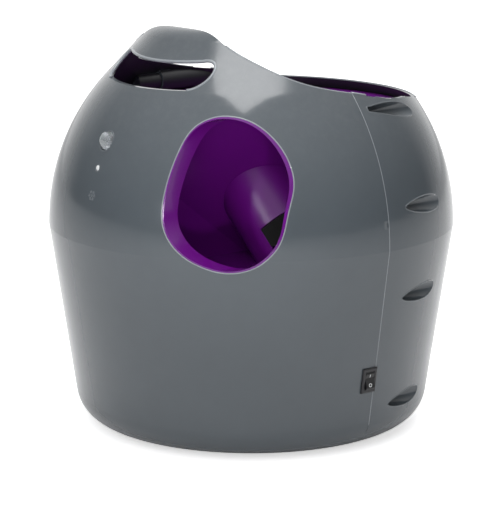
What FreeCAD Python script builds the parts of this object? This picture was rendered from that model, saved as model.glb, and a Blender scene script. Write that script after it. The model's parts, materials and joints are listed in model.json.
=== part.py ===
import FreeCAD, Part
import math
import os

V = FreeCAD.Vector
X_AXIS, Y_AXIS, Z_AXIS = V(1, 0, 0), V(0, 1, 0), V(0, 0, 1)

# Automatic ball launcher for dogs.
# Millimetres. +Z is up, the front faces -Y, and the origin is on the ground under the centre.

# Housing: a body of revolution that leans out to a crease and closes in a dome above it.
FOOT_H = 3.0
WALL = 3.0
R_FLOOR = 114.0
R_BASE = 145.2
R_CREASE = 170.0
Z_CREASE = FOOT_H + 168.5
BASE_ROUND = 28.0
DOME_RADIUS = 181.1
DOME_CENTRE = (-11.1, 170.6)
Z_BROW = 295.0
CREST_ROUND = 24.0
Z_CREST = 337.4
SEAM_GAP = 0.15

# Rim of the housing seen from the side, as (y, z): flat at the back, then up to the hood.
RIM_BACK = ((200.0, 272.5), (107.0, 274.0))
RIM_SWEEP = (
    (68.0, 281.0),
    (24.0, 286.0),
    (0.0, 291.0),
    (-33.0, 298.5),
    (-52.7, 307.7),
    (-62.9, 315.7),
    (-70.4, 324.6),
    (-72.3, 332.0),
    (-69.5, 338.5),
)

# Carrying slot in the hood.
SLOT_HALF = 60.7
SLOT_BOTTOM = FOOT_H + 291.0
SLOT_TOP = FOOT_H + 311.5

# Launch lane: the ball leaves towards the front, right of centre.
LANE_X = 107.2
LINER_WALL = 1.8
LIP_WALL = 1.6
LIP_DEPTH = 12.0
CHAMBER_X = (20.0, 143.0)
CHAMBER_BACK_Y = -4.0
CHAMBER_Z = (150.0, 282.0)
CHAMBER_WALL = V(0.74, -0.41, -0.533)
CHAMBER_WALL_AT = -55.0
GATE_X = (72.5, 141.5)
GATE_Y = (-113.0, -4.0)
BALL_R = 32.7

# Feed tube from the hopper's funnel to the cradle, with a gutter past its mouth.
TUBE_R = 37.7
TUBE_WALL = 2.4
TUBE_SLOPE = math.radians(47.9)
TUBE_TURN = math.radians(98.3)
TUBE_MOUTH = V(70.1, -19.5, 178.8)
TUBE_LENGTH = 95.0
GUTTER_LENGTH = 26.0
GUTTER_SIDE = V(-0.4637, -0.7246, -0.508)
GUTTER_FROM = 21.0

# Hopper: a shallow dish round a steep funnel.
HOPPER_EDGE_Z = FOOT_H + 262.0
HOPPER_EDGE_R = 138.0
HOPPER_WALL = 2.5
DISH_LOW_Z = 252.0
FUNNEL_LOW = (13.5, 0.9, 190.6, 40.0)
FUNNEL_HIGH = (4.0, 6.3, 252.6, 90.0)

# Screws that join the two shells, from pockets in the rear one.
POCKET_R = 7.1
POCKET_INBOARD = 8.5
POCKET_Z = (274.5, 201.5, 129.0, 38.5)
POCKET_FLOOR_Y = 8.0
POST_R = 9.5

# Launch mechanism. Places are (y, z) on shafts that lie along X.
HAMMER_AXIS = (-50.0, 76.0)
HAMMER_REACH = 70.0
HAMMER_ANGLE = math.radians(57.3)
CRADLE_AXIS = (-78.0, 118.0)
CRADLE_ARM = 69.0
CRADLE_HALF_SWING = math.radians(8.7)
BALL_CENTRE = (-40.0, 153.0)
CRADLE_HALF = 17.2
CHEEK_T = 2.8
HORN_REACH = 26.0
SPRING_R = 3.0
SPRING_TURNS = 9
LAUNCH_ANGLE = math.radians(25.0)
PLATE_IN = 76.0
PLATE_OUT = 125.0
PLATE_T = 3.0

# Gear train, module and tooth counts.
DRIVE_MODULE = 1.5
SECTOR_TEETH = 36
DRIVE_TEETH = 24
SECOND_MODULE = 1.25
SECOND_GEAR_TEETH = 42
SECOND_PINION_TEETH = 12
FIRST_MODULE = 1.0
FIRST_GEAR_TEETH = 54
MOTOR_PINION_TEETH = 12
DRIVE_LINE_ANGLE = math.radians(-35.0)

# Dials on the rear.
DIAL_Z = 100.0
ANGLE_DIAL_X = 60.0
DISTANCE_DIAL_X = -60.0
DIAL_R = 17.0
DISH_R = 22.0
DISH_FLOOR_Y = 132.0
SHAFT_R = 3.0
RACK_PITCH_R = 8.0

# Battery bay for six large cells, opened from below.
BAY_X = (-82.0, 24.0)
BAY_Y = (-67.0, 67.0)
BAY_TOP = 44.0
CELL_R = 17.0
CELL_LENGTH = 61.5
DOOR_T = 2.4

# Sensor, light and sounder in the front, switch beside the seam, adaptor inlet at the back.
LENS_Z, LENS_R = FOOT_H + 250.0, 7.6
LIGHT_Z, LIGHT_R = FOOT_H + 229.0, 2.6
GRILLE_Z = FOOT_H + 207.6
SWITCH_ANGLE = math.radians(87.6)
SWITCH_Z = FOOT_H + 60.5
SWITCH_W, SWITCH_H = 12.6, 19.0
INLET_Z = 52.0
INLET_R = 5.5

# Axles, spacers and gear cover.
HAMMER_AXLE_R = 4.0
GEAR_AXLE_R = 3.0
CRADLE_STUB_R = 3.2
SPACERS = ((-80.0, 92.0), (-20.0, 40.0), (24.0, 98.0), (-64.0, 108.0))
COVER_IN = 44.5
COVER_POSTS = ((-64.0, 50.0), (4.0, 88.0), (40.0, 22.0))


def housing_radius(z):
    """Outer radius of the housing at a height."""
    if z <= Z_CREASE:
        return R_BASE + (R_CREASE - R_BASE) * (z - FOOT_H) / (Z_CREASE - FOOT_H)
    return DOME_CENTRE[0] + math.sqrt(DOME_RADIUS**2 - (z - DOME_CENTRE[1]) ** 2)


def line(a, b):
    return Part.LineSegment(a, b).toShape()


def arc(a, b, c):
    return Part.Arc(a, b, c).toShape()


def face(points):
    return Part.Face(Part.makePolygon(list(points) + [points[0]]))


def box(x0, x1, y0, y1, z0, z1):
    return Part.makeBox(x1 - x0, y1 - y0, z1 - z0, V(x0, y0, z0))


def rod(start, axis, radius, length):
    return Part.makeCylinder(radius, length, start, axis)


def sleeve(start, axis, outer, inner, length):
    return rod(start, axis, outer, length).cut(rod(start, axis, inner, length))


def x_rod(place, x0, x1, radius):
    return rod(V(x0, place[0], place[1]), X_AXIS, radius, x1 - x0)


def x_sleeve(place, x0, x1, outer, inner):
    return x_rod(place, x0, x1, outer).cut(x_rod(place, x0, x1, inner))


def x_prism(points, x0, x1):
    """Outline of (y, z) points, extruded along X."""
    return face([V(x0, y, z) for y, z in points]).extrude(V(x1 - x0, 0, 0))


def join(shapes):
    return shapes[0].fuse(shapes[1:]).removeSplitter() if len(shapes) > 1 else shapes[0]


def polar(centre, radius, angle):
    return (centre[0] + radius * math.cos(angle), centre[1] + radius * math.sin(angle))


# Axes of the gear train, one after the other from the hammer's.
DRIVE_AXIS = polar(HAMMER_AXIS, DRIVE_MODULE * (SECTOR_TEETH + DRIVE_TEETH) / 2, DRIVE_LINE_ANGLE)
SECOND_AXIS = (DRIVE_AXIS[0] + SECOND_MODULE * (SECOND_GEAR_TEETH + SECOND_PINION_TEETH) / 2, DRIVE_AXIS[1])
MOTOR_AXIS = (SECOND_AXIS[0] + FIRST_MODULE * (FIRST_GEAR_TEETH + MOTOR_PINION_TEETH) / 2, SECOND_AXIS[1])


def save(name, shape):
    solids = shape.Solids
    shape = solids[0] if len(solids) == 1 else Part.makeCompound(solids)
    shape.exportStep(f"parts/{name}.step")
    print(f"{name:24s} solids {len(solids):3d} valid {shape.isValid()} volume {shape.Volume:10.0f}")


# ---- housing ----------------------------------------------------------------


def housing_outline(inset):
    """Edges of the half profile, pulled in by inset: base round, side, dome, brow and crest."""
    lean = math.atan2(R_CREASE - R_BASE, Z_CREASE - FOOT_H)
    floor = FOOT_H + inset
    side = R_BASE - inset / math.cos(lean) + inset * math.tan(lean)
    round_r = BASE_ROUND - inset
    corner = (side - round_r * math.tan((math.pi / 2 - lean) / 2), floor + round_r)
    base = [polar(corner, round_r, angle) for angle in (-math.pi / 2, -math.pi / 4 - lean / 2, -lean)]
    dome = DOME_RADIUS - inset
    brow_angle = math.asin((Z_BROW - DOME_CENTRE[1]) / DOME_RADIUS)
    skirt = [polar(DOME_CENTRE, dome, angle) for angle in (0.0, brow_angle / 2, brow_angle)]
    crest_r = CREST_ROUND - inset
    slope = (-math.sin(brow_angle), math.cos(brow_angle))
    brow = skirt[2]
    rise = Z_CREST - CREST_ROUND + crest_r * math.sin(brow_angle) - brow[1]
    temple = (brow[0] + slope[0] * rise / slope[1], brow[1] + rise)
    crown = (temple[0] - crest_r * math.cos(brow_angle), Z_CREST - CREST_ROUND)
    crest = [polar(crown, crest_r, angle) for angle in ((brow_angle + math.pi / 2) / 2, math.pi / 2)]
    head = (0.0, crest[1][1])
    foot = (0.0, floor)
    at = [V(r, 0, z) for r, z in base + skirt + [temple] + crest + [head, foot]]
    return [
        arc(at[0], at[1], at[2]),
        line(at[2], at[3]),
        arc(at[3], at[4], at[5]),
        line(at[5], at[6]),
        arc(at[6], at[7], at[8]),
        line(at[8], at[9]),
        line(at[9], at[10]),
        line(at[10], at[0]),
    ]


def housing_solid(inset):
    return Part.Face(Part.Wire(housing_outline(inset))).revolve(V(0, 0, 0), Z_AXIS, 360)


def rim_cutter():
    """Everything above the rim: low at the back, rising through a long sweep to the hood."""
    sweep = Part.BSplineCurve()
    sweep.interpolate([V(0, y, z) for y, z in RIM_SWEEP])
    back = [V(0, y, z) for y, z in RIM_BACK]
    start, end = V(0, *RIM_SWEEP[0]), V(0, *RIM_SWEEP[-1])
    top = Z_CREST + 30
    edges = [
        line(back[0], back[1]),
        line(back[1], start),
        sweep.toShape(),
        line(end, V(0, end.y, top)),
        line(V(0, end.y, top), V(0, back[0].y, top)),
        line(V(0, back[0].y, top), back[0]),
    ]
    outline = Part.Face(Part.Wire(edges))
    outline.translate(V(-200, 0, 0))
    return outline.extrude(V(400, 0, 0))


def y_prism(wire, y0, y1):
    outline = Part.Face(wire)
    outline.translate(V(0, y0, 0))
    return outline.extrude(V(0, y1 - y0, 0))


def slot_wire(grow=0.0):
    """Carrying slot seen from the front: long, with a crowned top and round ends."""
    end = (SLOT_TOP - SLOT_BOTTOM) / 2 + grow
    mid = (SLOT_TOP + SLOT_BOTTOM) / 2
    x = SLOT_HALF - end + grow
    top = V(x - 4, 0, SLOT_TOP + 1.5 + grow)
    low = V(x, 0, SLOT_BOTTOM + 1.0 - grow)
    side = V(SLOT_HALF + grow, 0, mid + 1)
    far_top, far_low, far_side = (V(-p.x, 0, p.z) for p in (top, low, side))
    edges = [
        arc(low, side, top),
        arc(top, V(0, 0, SLOT_TOP - 0.7 + grow), far_top),
        arc(far_top, far_side, far_low),
        arc(far_low, V(0, 0, SLOT_BOTTOM - grow), low),
    ]
    return Part.Wire(edges)


def egg_wire(grow=0.0):
    """Launch opening seen from the front: upright on the inner side, leaning on the outer one."""
    points = [
        (87, 275.4), (99.6, 273.9), (119.1, 261.8), (133.6, 244), (142.3, 222.6), (143.9, 205),
        (141.5, 176), (130.2, 161.7), (116.4, 158.0), (99.4, 163.4), (84.2, 174.9), (72.8, 194.7),
        (70.4, 215), (70.8, 250), (75.5, 269.5),
    ]
    centre = (107.0, 217.0)
    ring = []
    for x, z in points:
        reach = math.hypot(x - centre[0], z - centre[1])
        scale = 1 + grow / reach
        ring.append(V(centre[0] + (x - centre[0]) * scale, 0, centre[1] + (z - centre[1]) * scale + FOOT_H))
    curve = Part.BSplineCurve()
    curve.interpolate(ring, PeriodicFlag=True)
    return Part.Wire([curve.toShape()])


def pocket_places():
    for z in POCKET_Z:
        for side in (-1, 1):
            yield V(side * (housing_radius(z) - POCKET_INBOARD), 0, z)


def front_bosses():
    """Blind posts that take the shell screws."""
    posts = [rod(p + V(0, -24, 0), Y_AXIS, 7.6, 24 - SEAM_GAP) for p in pocket_places()]
    holes = [rod(p + V(0, -20, 0), Y_AXIS, 1.6, 21) for p in pocket_places()]
    return posts, holes


def front_shell(skin, solid):
    half = skin.common(box(-200, 200, -200, -SEAM_GAP, 0, 400))
    half = half.cut(y_prism(slot_wire(), -200, -40))
    half = half.cut(y_prism(egg_wire(), -200, -56))
    posts, holes = front_bosses()
    half = half.fuse([p.common(solid) for p in posts])
    lens = [rod(V(0, -200, LENS_Z), Y_AXIS, LENS_R, 80), rod(V(0, -200, LIGHT_Z), Y_AXIS, LIGHT_R, 80)]
    grille = [rod(V(dx, -200, GRILLE_Z + dz), Y_AXIS, 0.7, 80) for dx, dz in grille_holes()]
    return half.cut(holes + lens + grille + [switch_cutter()])


def grille_holes():
    yield 0.0, 0.0
    for k in range(6):
        yield 3.0 * math.cos(k * math.pi / 3), 3.0 * math.sin(k * math.pi / 3)


def at_switch(shape):
    """Puts a shape made about the origin, facing +X, on the housing beside the seam."""
    lean = math.degrees(math.atan2(R_CREASE - R_BASE, Z_CREASE - FOOT_H))
    shape = shape.copy()
    shape.rotate(V(0, 0, 0), Y_AXIS, lean)
    shape.translate(V(housing_radius(SWITCH_Z), 0, SWITCH_Z))
    shape.rotate(V(0, 0, 0), Z_AXIS, math.degrees(SWITCH_ANGLE) - 90)
    return shape


def switch_cutter():
    return at_switch(box(-12, 10, -SWITCH_W / 2, SWITCH_W / 2, -SWITCH_H / 2, SWITCH_H / 2))


def rear_shell(skin, solid):
    half = skin.common(box(-200, 200, SEAM_GAP, 200, 0, 400))
    bosses, bores = [], []
    for p in pocket_places():
        bosses.append(rod(p + V(0, SEAM_GAP, 0), Y_AXIS, POST_R, 120).common(solid))
        bores.append(rod(p + V(0, POCKET_FLOOR_Y, 0), Y_AXIS, POCKET_R, 160))
        bores.append(rod(p + V(0, -5, 0), Y_AXIS, 2.3, 20))
    for x in (ANGLE_DIAL_X, DISTANCE_DIAL_X):
        dish = rod(V(x, DISH_FLOOR_Y - WALL, DIAL_Z), Y_AXIS, DISH_R + 2.5, 60)
        bosses.append(dish.common(solid))
        bores.append(rod(V(x, DISH_FLOOR_Y, DIAL_Z), Y_AXIS, DISH_R, 60))
        bores.append(rod(V(x, DISH_FLOOR_Y - 10, DIAL_Z), Y_AXIS, SHAFT_R + 1.0, 60))
    bores.append(rod(V(0, 120, INLET_Z), Y_AXIS, INLET_R, 60))
    return half.fuse(bosses).cut(bores + [switch_cutter()])


# ---- lane and hopper ----------------------------------------------------------


def tube_direction():
    level = math.cos(TUBE_SLOPE)
    return V(level * math.sin(TUBE_TURN), -level * math.cos(TUBE_TURN), -math.sin(TUBE_SLOPE))


def tube_rod(radius, past_mouth=0.0):
    """Cylinder on the feed tube's axis, from inside the funnel to the mouth or past it."""
    along = tube_direction()
    return rod(TUBE_MOUTH - along * TUBE_LENGTH, along, radius, TUBE_LENGTH + past_mouth)


def circle_wire(place):
    x, y, z, radius = place
    return Part.Wire([Part.makeCircle(radius, V(x, y, z), Z_AXIS)])


def cone_between(low, high):
    return Part.makeLoft([circle_wire(low), circle_wire(high)], True, True)


def funnel_place(z, grow=0.0):
    """Centre, height and radius of the funnel at a height; its axis leans towards the tube."""
    t = (z - FUNNEL_LOW[2]) / (FUNNEL_HIGH[2] - FUNNEL_LOW[2])
    x, y, radius = (FUNNEL_LOW[k] + (FUNNEL_HIGH[k] - FUNNEL_LOW[k]) * t for k in (0, 1, 3))
    return (x, y, z, radius + grow)


def funnel_solid(grow, top):
    return cone_between(funnel_place(FUNNEL_LOW[2] - grow, grow), funnel_place(top, grow))


def behind(normal, level):
    """Large block on the far side of a plane, away from its normal."""
    block = Part.makeBox(900, 900, 450, V(-450, -450, -450))
    block.Placement = FreeCAD.Placement(normal * level, FreeCAD.Rotation(Z_AXIS, normal))
    return block


def biggest(shape):
    return max(shape.Solids, key=lambda s: s.Volume)


def feed_tube():
    """Straight outlet of the funnel; on its low side the wall runs on as a gutter."""
    pipe = tube_rod(TUBE_R).cut(tube_rod(TUBE_R - TUBE_WALL, 1.0))
    gutter = tube_rod(TUBE_R, GUTTER_LENGTH).cut(tube_rod(TUBE_R - TUBE_WALL, GUTTER_LENGTH + 1))
    gutter = gutter.cut(behind(GUTTER_SIDE, GUTTER_SIDE.dot(TUBE_MOUTH) + GUTTER_FROM))
    below = box(-200, 200, -200, 200, 0, CHAMBER_Z[0] + 0.3)
    return biggest(pipe.fuse(gutter).cut([funnel_solid(SEAM_GAP, Z_CREST), below]))


def chamber(grow, inset):
    """Room behind the launch opening: flat walls, one of them slanted, and the housing in front."""
    x0, x1 = CHAMBER_X
    z0, z1 = CHAMBER_Z
    room = box(x0 - grow, x1 + grow, -200, CHAMBER_BACK_Y + grow, z0 - grow, z1 + grow)
    return room.cut(behind(CHAMBER_WALL, CHAMBER_WALL_AT - grow)).common(housing_solid(inset))


def lane_liner():
    """Purple lining of the launch opening: a lip through the shell and the chamber behind it."""
    skin = WALL + 0.3
    walls = chamber(LINER_WALL, skin).cut(chamber(0.0, skin + LINER_WALL))
    lip = y_prism(egg_wire(-SEAM_GAP), -200, -56).common(housing_solid(0.0))
    lip = lip.cut(housing_solid(LIP_DEPTH))
    opening = y_prism(egg_wire(-SEAM_GAP - LIP_WALL), -201, -56)
    opening = opening.cut(behind(CHAMBER_WALL, CHAMBER_WALL_AT))
    gate = box(GATE_X[0], GATE_X[1], GATE_Y[0], GATE_Y[1], CHAMBER_Z[0] - 10, CHAMBER_Z[0] + 1)
    posts = [rod(p + V(0, -25, 0), Y_AXIS, POST_R - 1.4, 25) for p in pocket_places()]
    return biggest(walls.fuse(lip).cut([opening, tube_rod(TUBE_R + 0.3), gate, rim_cutter()] + posts))


def hopper(solid):
    """Dish with a flat edge, a steep funnel and the hole through which the balls reach the tube."""
    edge = (0.0, 0.0, HOPPER_EDGE_Z, HOPPER_EDGE_R)
    low = funnel_place(DISH_LOW_Z)
    dish = cone_between(low, edge).fuse(cone_between(funnel_place(FUNNEL_LOW[2]), low))
    room_edge = (0.0, 0.0, HOPPER_EDGE_Z + 1.0, HOPPER_EDGE_R - 3.0)
    room_low = funnel_place(DISH_LOW_Z + 1.0, -HOPPER_WALL)
    floor = funnel_place(FUNNEL_LOW[2] + HOPPER_WALL, -HOPPER_WALL)
    room = cone_between(room_low, room_edge).fuse(cone_between(floor, room_low))
    flange = sleeve(V(0, 0, HOPPER_EDGE_Z - 2.2), Z_AXIS, HOPPER_EDGE_R + 0.6, HOPPER_EDGE_R - 4, 2.2)
    posts = [rod(p + V(0, -25, 0), Y_AXIS, POST_R + 0.5, 150) for p in pocket_places()]
    sensor_room = box(-21, 21, -150, -131, 240, HOPPER_EDGE_Z - 2.6)
    launch_room = chamber(LINER_WALL + 0.3, 0.0)
    bowl = dish.cut(room).fuse(flange)
    cuts = [tube_rod(TUBE_R - TUBE_WALL), launch_room, sensor_room] + posts
    return biggest(bowl.cut(cuts).common(solid))


# ---- small trim on the housing ----------------------------------------------


def dome_wall_y(z):
    return -housing_radius(z)


def sensor_lens():
    y = dome_wall_y(LENS_Z)
    front = rod(V(0, y + 2.6, LENS_Z), V(0, -1, 0), 7.3, 12)
    dome = Part.makeSphere(8.4, V(0, y + 3.4, LENS_Z)).common(front)
    stem = rod(V(0, y + 10.5, LENS_Z), V(0, -1, 0), 7.3, 8.2)
    flange = rod(V(0, y + 12.5, LENS_Z), V(0, -1, 0), 8.8, 2.2)
    return dome.fuse([stem, flange]).removeSplitter()


def status_light():
    y = dome_wall_y(LIGHT_Z)
    pipe = rod(V(0, y + 12.0, LIGHT_Z), V(0, -1, 0), 2.4, 11.4)
    return pipe.fuse(Part.makeSphere(2.8, V(0, y + 2.0, LIGHT_Z)).common(
        rod(V(0, y + 2.0, LIGHT_Z), V(0, -1, 0), 2.4, 4))).removeSplitter()


def sensor_board():
    y = dome_wall_y(LENS_Z) + 16.0
    board = box(-16, 16, y, y + 1.6, LIGHT_Z - 8, LENS_Z + 7.5)
    element = rod(V(0, y, LENS_Z), V(0, -1, 0), 4.6, 3.0)
    lamp = rod(V(0, y, LIGHT_Z), V(0, -1, 0), 2.5, 1.8)
    return join([board, element, lamp])


def speaker():
    y = dome_wall_y(GRILLE_Z) + WALL + 3.8
    back = V(0, -1, 0)
    frame = rod(V(0, y + 5, GRILLE_Z), back, 14.0, 4.8).cut(rod(V(0, y + 4, GRILLE_Z), back, 12.0, 4.8))
    magnet = rod(V(0, y + 10, GRILLE_Z), back, 8.0, 5.5)
    return join([frame, magnet])


def switch_bezel():
    plate = box(0.2, 1.8, -7.2, 7.2, -10.5, 10.5)
    front_edges = [e for e in plate.Edges if min(v.X for v in e.Vertexes) > 1.79]
    plate = plate.makeFillet(1.0, front_edges)
    body = box(-16, 0.4, -6.1, 6.1, -9.3, 9.3)
    well = box(-9, 5, -4.6, 4.6, -7.6, 7.6)
    blades = [box(-22, -16, -0.4, 0.4, z - 2.2, z + 2.2) for z in (-5, 4)]
    return at_switch(plate.fuse(body).cut(well).fuse(blades).removeSplitter())


def rocker():
    """Two-lobed key on a cross pin, dipped at its upper end."""
    points = [(-5.0, 5.2), (-0.2, 7.0), (1.6, 6.9), (2.0, 5.6), (1.4, 2.4), (2.6, -1.5), (4.0, -5.4),
              (3.6, -6.7), (-0.2, -6.9), (-5.0, -5.2)]
    key = face([V(x, -4.3, z) for x, z in points]).extrude(V(0, 8.6, 0))
    return at_switch(key)


def base_plate():
    """Floor of the housing, with the battery bay's walls, rims and posts moulded in."""
    disc = rod(V(0, 0, FOOT_H), Z_AXIS, R_FLOOR - 0.4, 3.0)
    flange = rod(V(0, 0, FOOT_H + WALL + 0.3), Z_AXIS, R_FLOOR + 5.0, 2.7)
    x0, x1 = BAY_X
    y0, y1 = BAY_Y
    bay = box(x0 - 2, x1 + 2, y0 - 2, y1 + 2, FOOT_H + 4, BAY_TOP + 2)
    room = box(x0, x1, y0, y1, FOOT_H - 1, BAY_TOP)
    ledge = box(x0 - 2, x1 + 2, y0 - 2, y1 + 2, FOOT_H - 1, FOOT_H + DOOR_T + 0.2)
    ribs = [rib(angle) for angle in range(0, 360, 30)]
    body = disc.fuse([flange, bay] + ribs)
    body = body.cut([room, ledge, frame_seat()])
    feet = [rod(foot_place(k) + V(0, 0, 0.8), Z_AXIS, 4.3, 4) for k in range(4)]
    return biggest(body.cut(feet + [door_catch_cut()]))


def rib(angle):
    a = math.radians(angle)
    shape = box(40, R_FLOOR + 3, -1.0, 1.0, FOOT_H + WALL + 0.5, FOOT_H + 12)
    shape.rotate(V(0, 0, 0), Z_AXIS, math.degrees(a))
    return shape


def foot_place(k):
    a = math.radians(45 + 90 * k)
    return V(108.0 * math.cos(a), 108.0 * math.sin(a), 0)


def feet():
    shapes = []
    for k in range(4):
        foot = rod(foot_place(k), Z_AXIS, 6.0, FOOT_H - 0.2)
        shapes.append(foot.fuse(rod(foot_place(k), Z_AXIS, 4.0, FOOT_H + 1.4)).removeSplitter())
    return shapes


def frame_seat():
    """Clear floor for the launch frame's foot and its four screws."""
    return box(44, PLATE_IN + PLATE_T + 3, -62, 80, FOOT_H + 6.0, FOOT_H + 20)


def door_catch_cut():
    return box(BAY_X[0] - 8, BAY_X[0] - 1, -8, 8, FOOT_H - 1, FOOT_H + DOOR_T + 6)


def battery_door():
    """Hinged cover of the battery bay, with finger grips and a spring catch at one end."""
    x0, x1 = BAY_X
    y0, y1 = BAY_Y
    panel = box(x0 - 1.6, x1 + 1.6, y0 - 1.6, y1 + 1.6, FOOT_H, FOOT_H + DOOR_T)
    grips = [box(x0 + 4, x0 + 16, y, y + 2.0, FOOT_H - 0.1, FOOT_H + 0.8) for y in (-9, -4, 1, 6)]
    tongue = box(x0 - 7, x0 + 2, -7, 7, FOOT_H + 0.4, FOOT_H + DOOR_T)
    return biggest(panel.fuse(tongue).cut(grips))


def cell(x, y, up):
    """One large round cell lying along Y, with its raised contact."""
    can = rod(V(x, y, BAY_TOP - CELL_R - 1.0), Y_AXIS, CELL_R - 0.3, CELL_LENGTH - 1.5)
    if up:
        return can.fuse(rod(V(x, y + CELL_LENGTH - 1.6, can_z()), Y_AXIS, 4.7, 1.5))
    return can.fuse(rod(V(x, y - 1.4, can_z()), Y_AXIS, 4.7, 1.5))


def can_z():
    return BAY_TOP - CELL_R - 1.0


def cells():
    pitch = (BAY_X[1] - BAY_X[0]) / 3
    for row, y in enumerate((BAY_Y[0] + 4.0, 2.0)):
        for k in range(3):
            yield cell(BAY_X[0] + pitch * (k + 0.5), y, (row + k) % 2 == 0)


def contacts():
    """Sprung end plates of the battery bay, one pair for each row of cells."""
    shapes = []
    pitch = (BAY_X[1] - BAY_X[0]) / 3
    for k in range(3):
        x = BAY_X[0] + pitch * (k + 0.5)
        shapes.append(box(x - 9, x + 9, BAY_Y[0] + 0.2, BAY_Y[0] + 0.8, can_z() - 9, can_z() + 9))
        shapes.append(box(x - 9, x + 9, BAY_Y[1] - 0.8, BAY_Y[1] - 0.2, can_z() - 9, can_z() + 9))
    return shapes


# ---- gears --------------------------------------------------------------------


def gear_outline(module, teeth, first=0, count=None, thin=0.12):
    """Spur gear outline as (u, v) points with straight-flanked teeth; a part gear keeps a plain rim."""
    pitch = module * teeth / 2
    tip, root = pitch + module, pitch - 1.25 * module
    step = 2 * math.pi / teeth
    count = teeth if count is None else count
    shapes = ((root, 0.36), (pitch, 0.25 - thin / (math.pi * module)), (tip, 0.11))
    points = []
    for k in range(teeth):
        middle = k * step
        if (k - first) % teeth < count:
            points += [(r, middle - share * step) for r, share in shapes]
            points += [(r, middle + share * step) for r, share in reversed(shapes)]
        else:
            points += [(root, middle - 0.36 * step), (root, middle + 0.36 * step)]
    return [(r * math.cos(a), r * math.sin(a)) for r, a in points]


def gear(place, x0, x1, module, teeth, turn=0.0, first=0, count=None):
    points = [turned((u, v), (0, 0), turn) for u, v in gear_outline(module, teeth, first, count)]
    return x_prism([(place[0] + y, place[1] + z) for y, z in points], x0, x1)


def meshing_turn(line_angle, turn, teeth, mate_teeth):
    """Turn that puts a gap of the mate on the tooth of a gear, along their line of centres."""
    step, mate_step = 2 * math.pi / teeth, 2 * math.pi / mate_teeth
    phase = ((line_angle - turn) / step) % 1.0
    return line_angle + math.pi + (phase + 0.5) * mate_step


def sector_gear():
    """Hammer's gear: teeth on part of its rim only, keyed to the axle."""
    wheel = gear(HAMMER_AXIS, 52, 59.5, DRIVE_MODULE, SECTOR_TEETH, DRIVE_LINE_ANGLE, -2, 12)
    hub = x_rod(HAMMER_AXIS, 49, 62, 8.0)
    bore = x_rod(HAMMER_AXIS, 40, 80, HAMMER_AXLE_R)
    angles = [DRIVE_LINE_ANGLE + math.pi / 3 * k for k in range(6)]
    windows = [x_rod(polar(HAMMER_AXIS, 16, angle), 50, 61, 4.5) for angle in angles]
    return wheel.fuse(hub).cut([bore] + windows)


def drive_gear():
    """Last gear of the train: a wheel fixed to a pinion with teeth on half of its rim."""
    turn = meshing_turn(DRIVE_LINE_ANGLE, DRIVE_LINE_ANGLE, SECTOR_TEETH, DRIVE_TEETH)
    half = gear(DRIVE_AXIS, 52.5, 59, DRIVE_MODULE, DRIVE_TEETH, turn, -11, 13)
    second_turn = meshing_turn(math.pi, 0, SECOND_PINION_TEETH, SECOND_GEAR_TEETH)
    wheel = gear(DRIVE_AXIS, 62, 66.4, SECOND_MODULE, SECOND_GEAR_TEETH, second_turn)
    hub = x_rod(DRIVE_AXIS, 58, 62.5, 9.0)
    windows = [x_rod(polar(DRIVE_AXIS, 16.5, math.pi / 3 * k), 60, 68, 4.6) for k in range(6)]
    return half.fuse([wheel, hub]).cut([x_rod(DRIVE_AXIS, 40, 75, GEAR_AXLE_R + 0.05)] + windows)


def second_gear():
    pinion = gear(SECOND_AXIS, 61, 69, SECOND_MODULE, SECOND_PINION_TEETH, 0.0)
    turn = meshing_turn(math.pi, 0, MOTOR_PINION_TEETH, FIRST_GEAR_TEETH)
    wheel = gear(SECOND_AXIS, 71, 75, FIRST_MODULE, FIRST_GEAR_TEETH, turn)
    hub = x_rod(SECOND_AXIS, 68, 72, 5.6)
    windows = [x_rod(polar(SECOND_AXIS, 16.5, math.pi / 3 * k), 70, 76, 4.8) for k in range(6)]
    return pinion.fuse([wheel, hub]).cut([x_rod(SECOND_AXIS, 40, 76, GEAR_AXLE_R + 0.05)] + windows)


def motor_pinion():
    pinion = gear(MOTOR_AXIS, 70.2, 75.6, FIRST_MODULE, MOTOR_PINION_TEETH)
    return pinion.cut(x_rod(MOTOR_AXIS, 60, 80, 1.1))


def motor():
    """Cylindrical motor bolted to the frame's inner plate, its shaft through the plate."""
    can = x_rod(MOTOR_AXIS, PLATE_IN + PLATE_T, PLATE_IN + PLATE_T + 44, 15.0)
    y = MOTOR_AXIS[0]
    flats = [box(60, 140, y + 12.5, y + 17, 20, 90), box(60, 140, y - 17, y - 12.5, 20, 90)]
    nose = x_rod(MOTOR_AXIS, PLATE_IN + 0.2, PLATE_IN + PLATE_T, 4.9)
    tail = x_rod(MOTOR_AXIS, PLATE_IN + PLATE_T + 44, PLATE_IN + PLATE_T + 46, 5.0)
    shaft = x_rod(MOTOR_AXIS, 69.0, PLATE_IN + PLATE_T + 1, 1.1)
    bearing = x_rod(MOTOR_AXIS, 60, PLATE_IN + PLATE_T + 1.2, 1.15)
    return can.cut(flats).fuse([nose, tail]).cut(bearing), shaft


# ---- launch frame, hammer and cradle --------------------------------------------


def frame_holes():
    """Running bores of the frame: place, radius of what turns in it."""
    return [(HAMMER_AXIS, 6.5), (CRADLE_AXIS, 5.0)]


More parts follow.
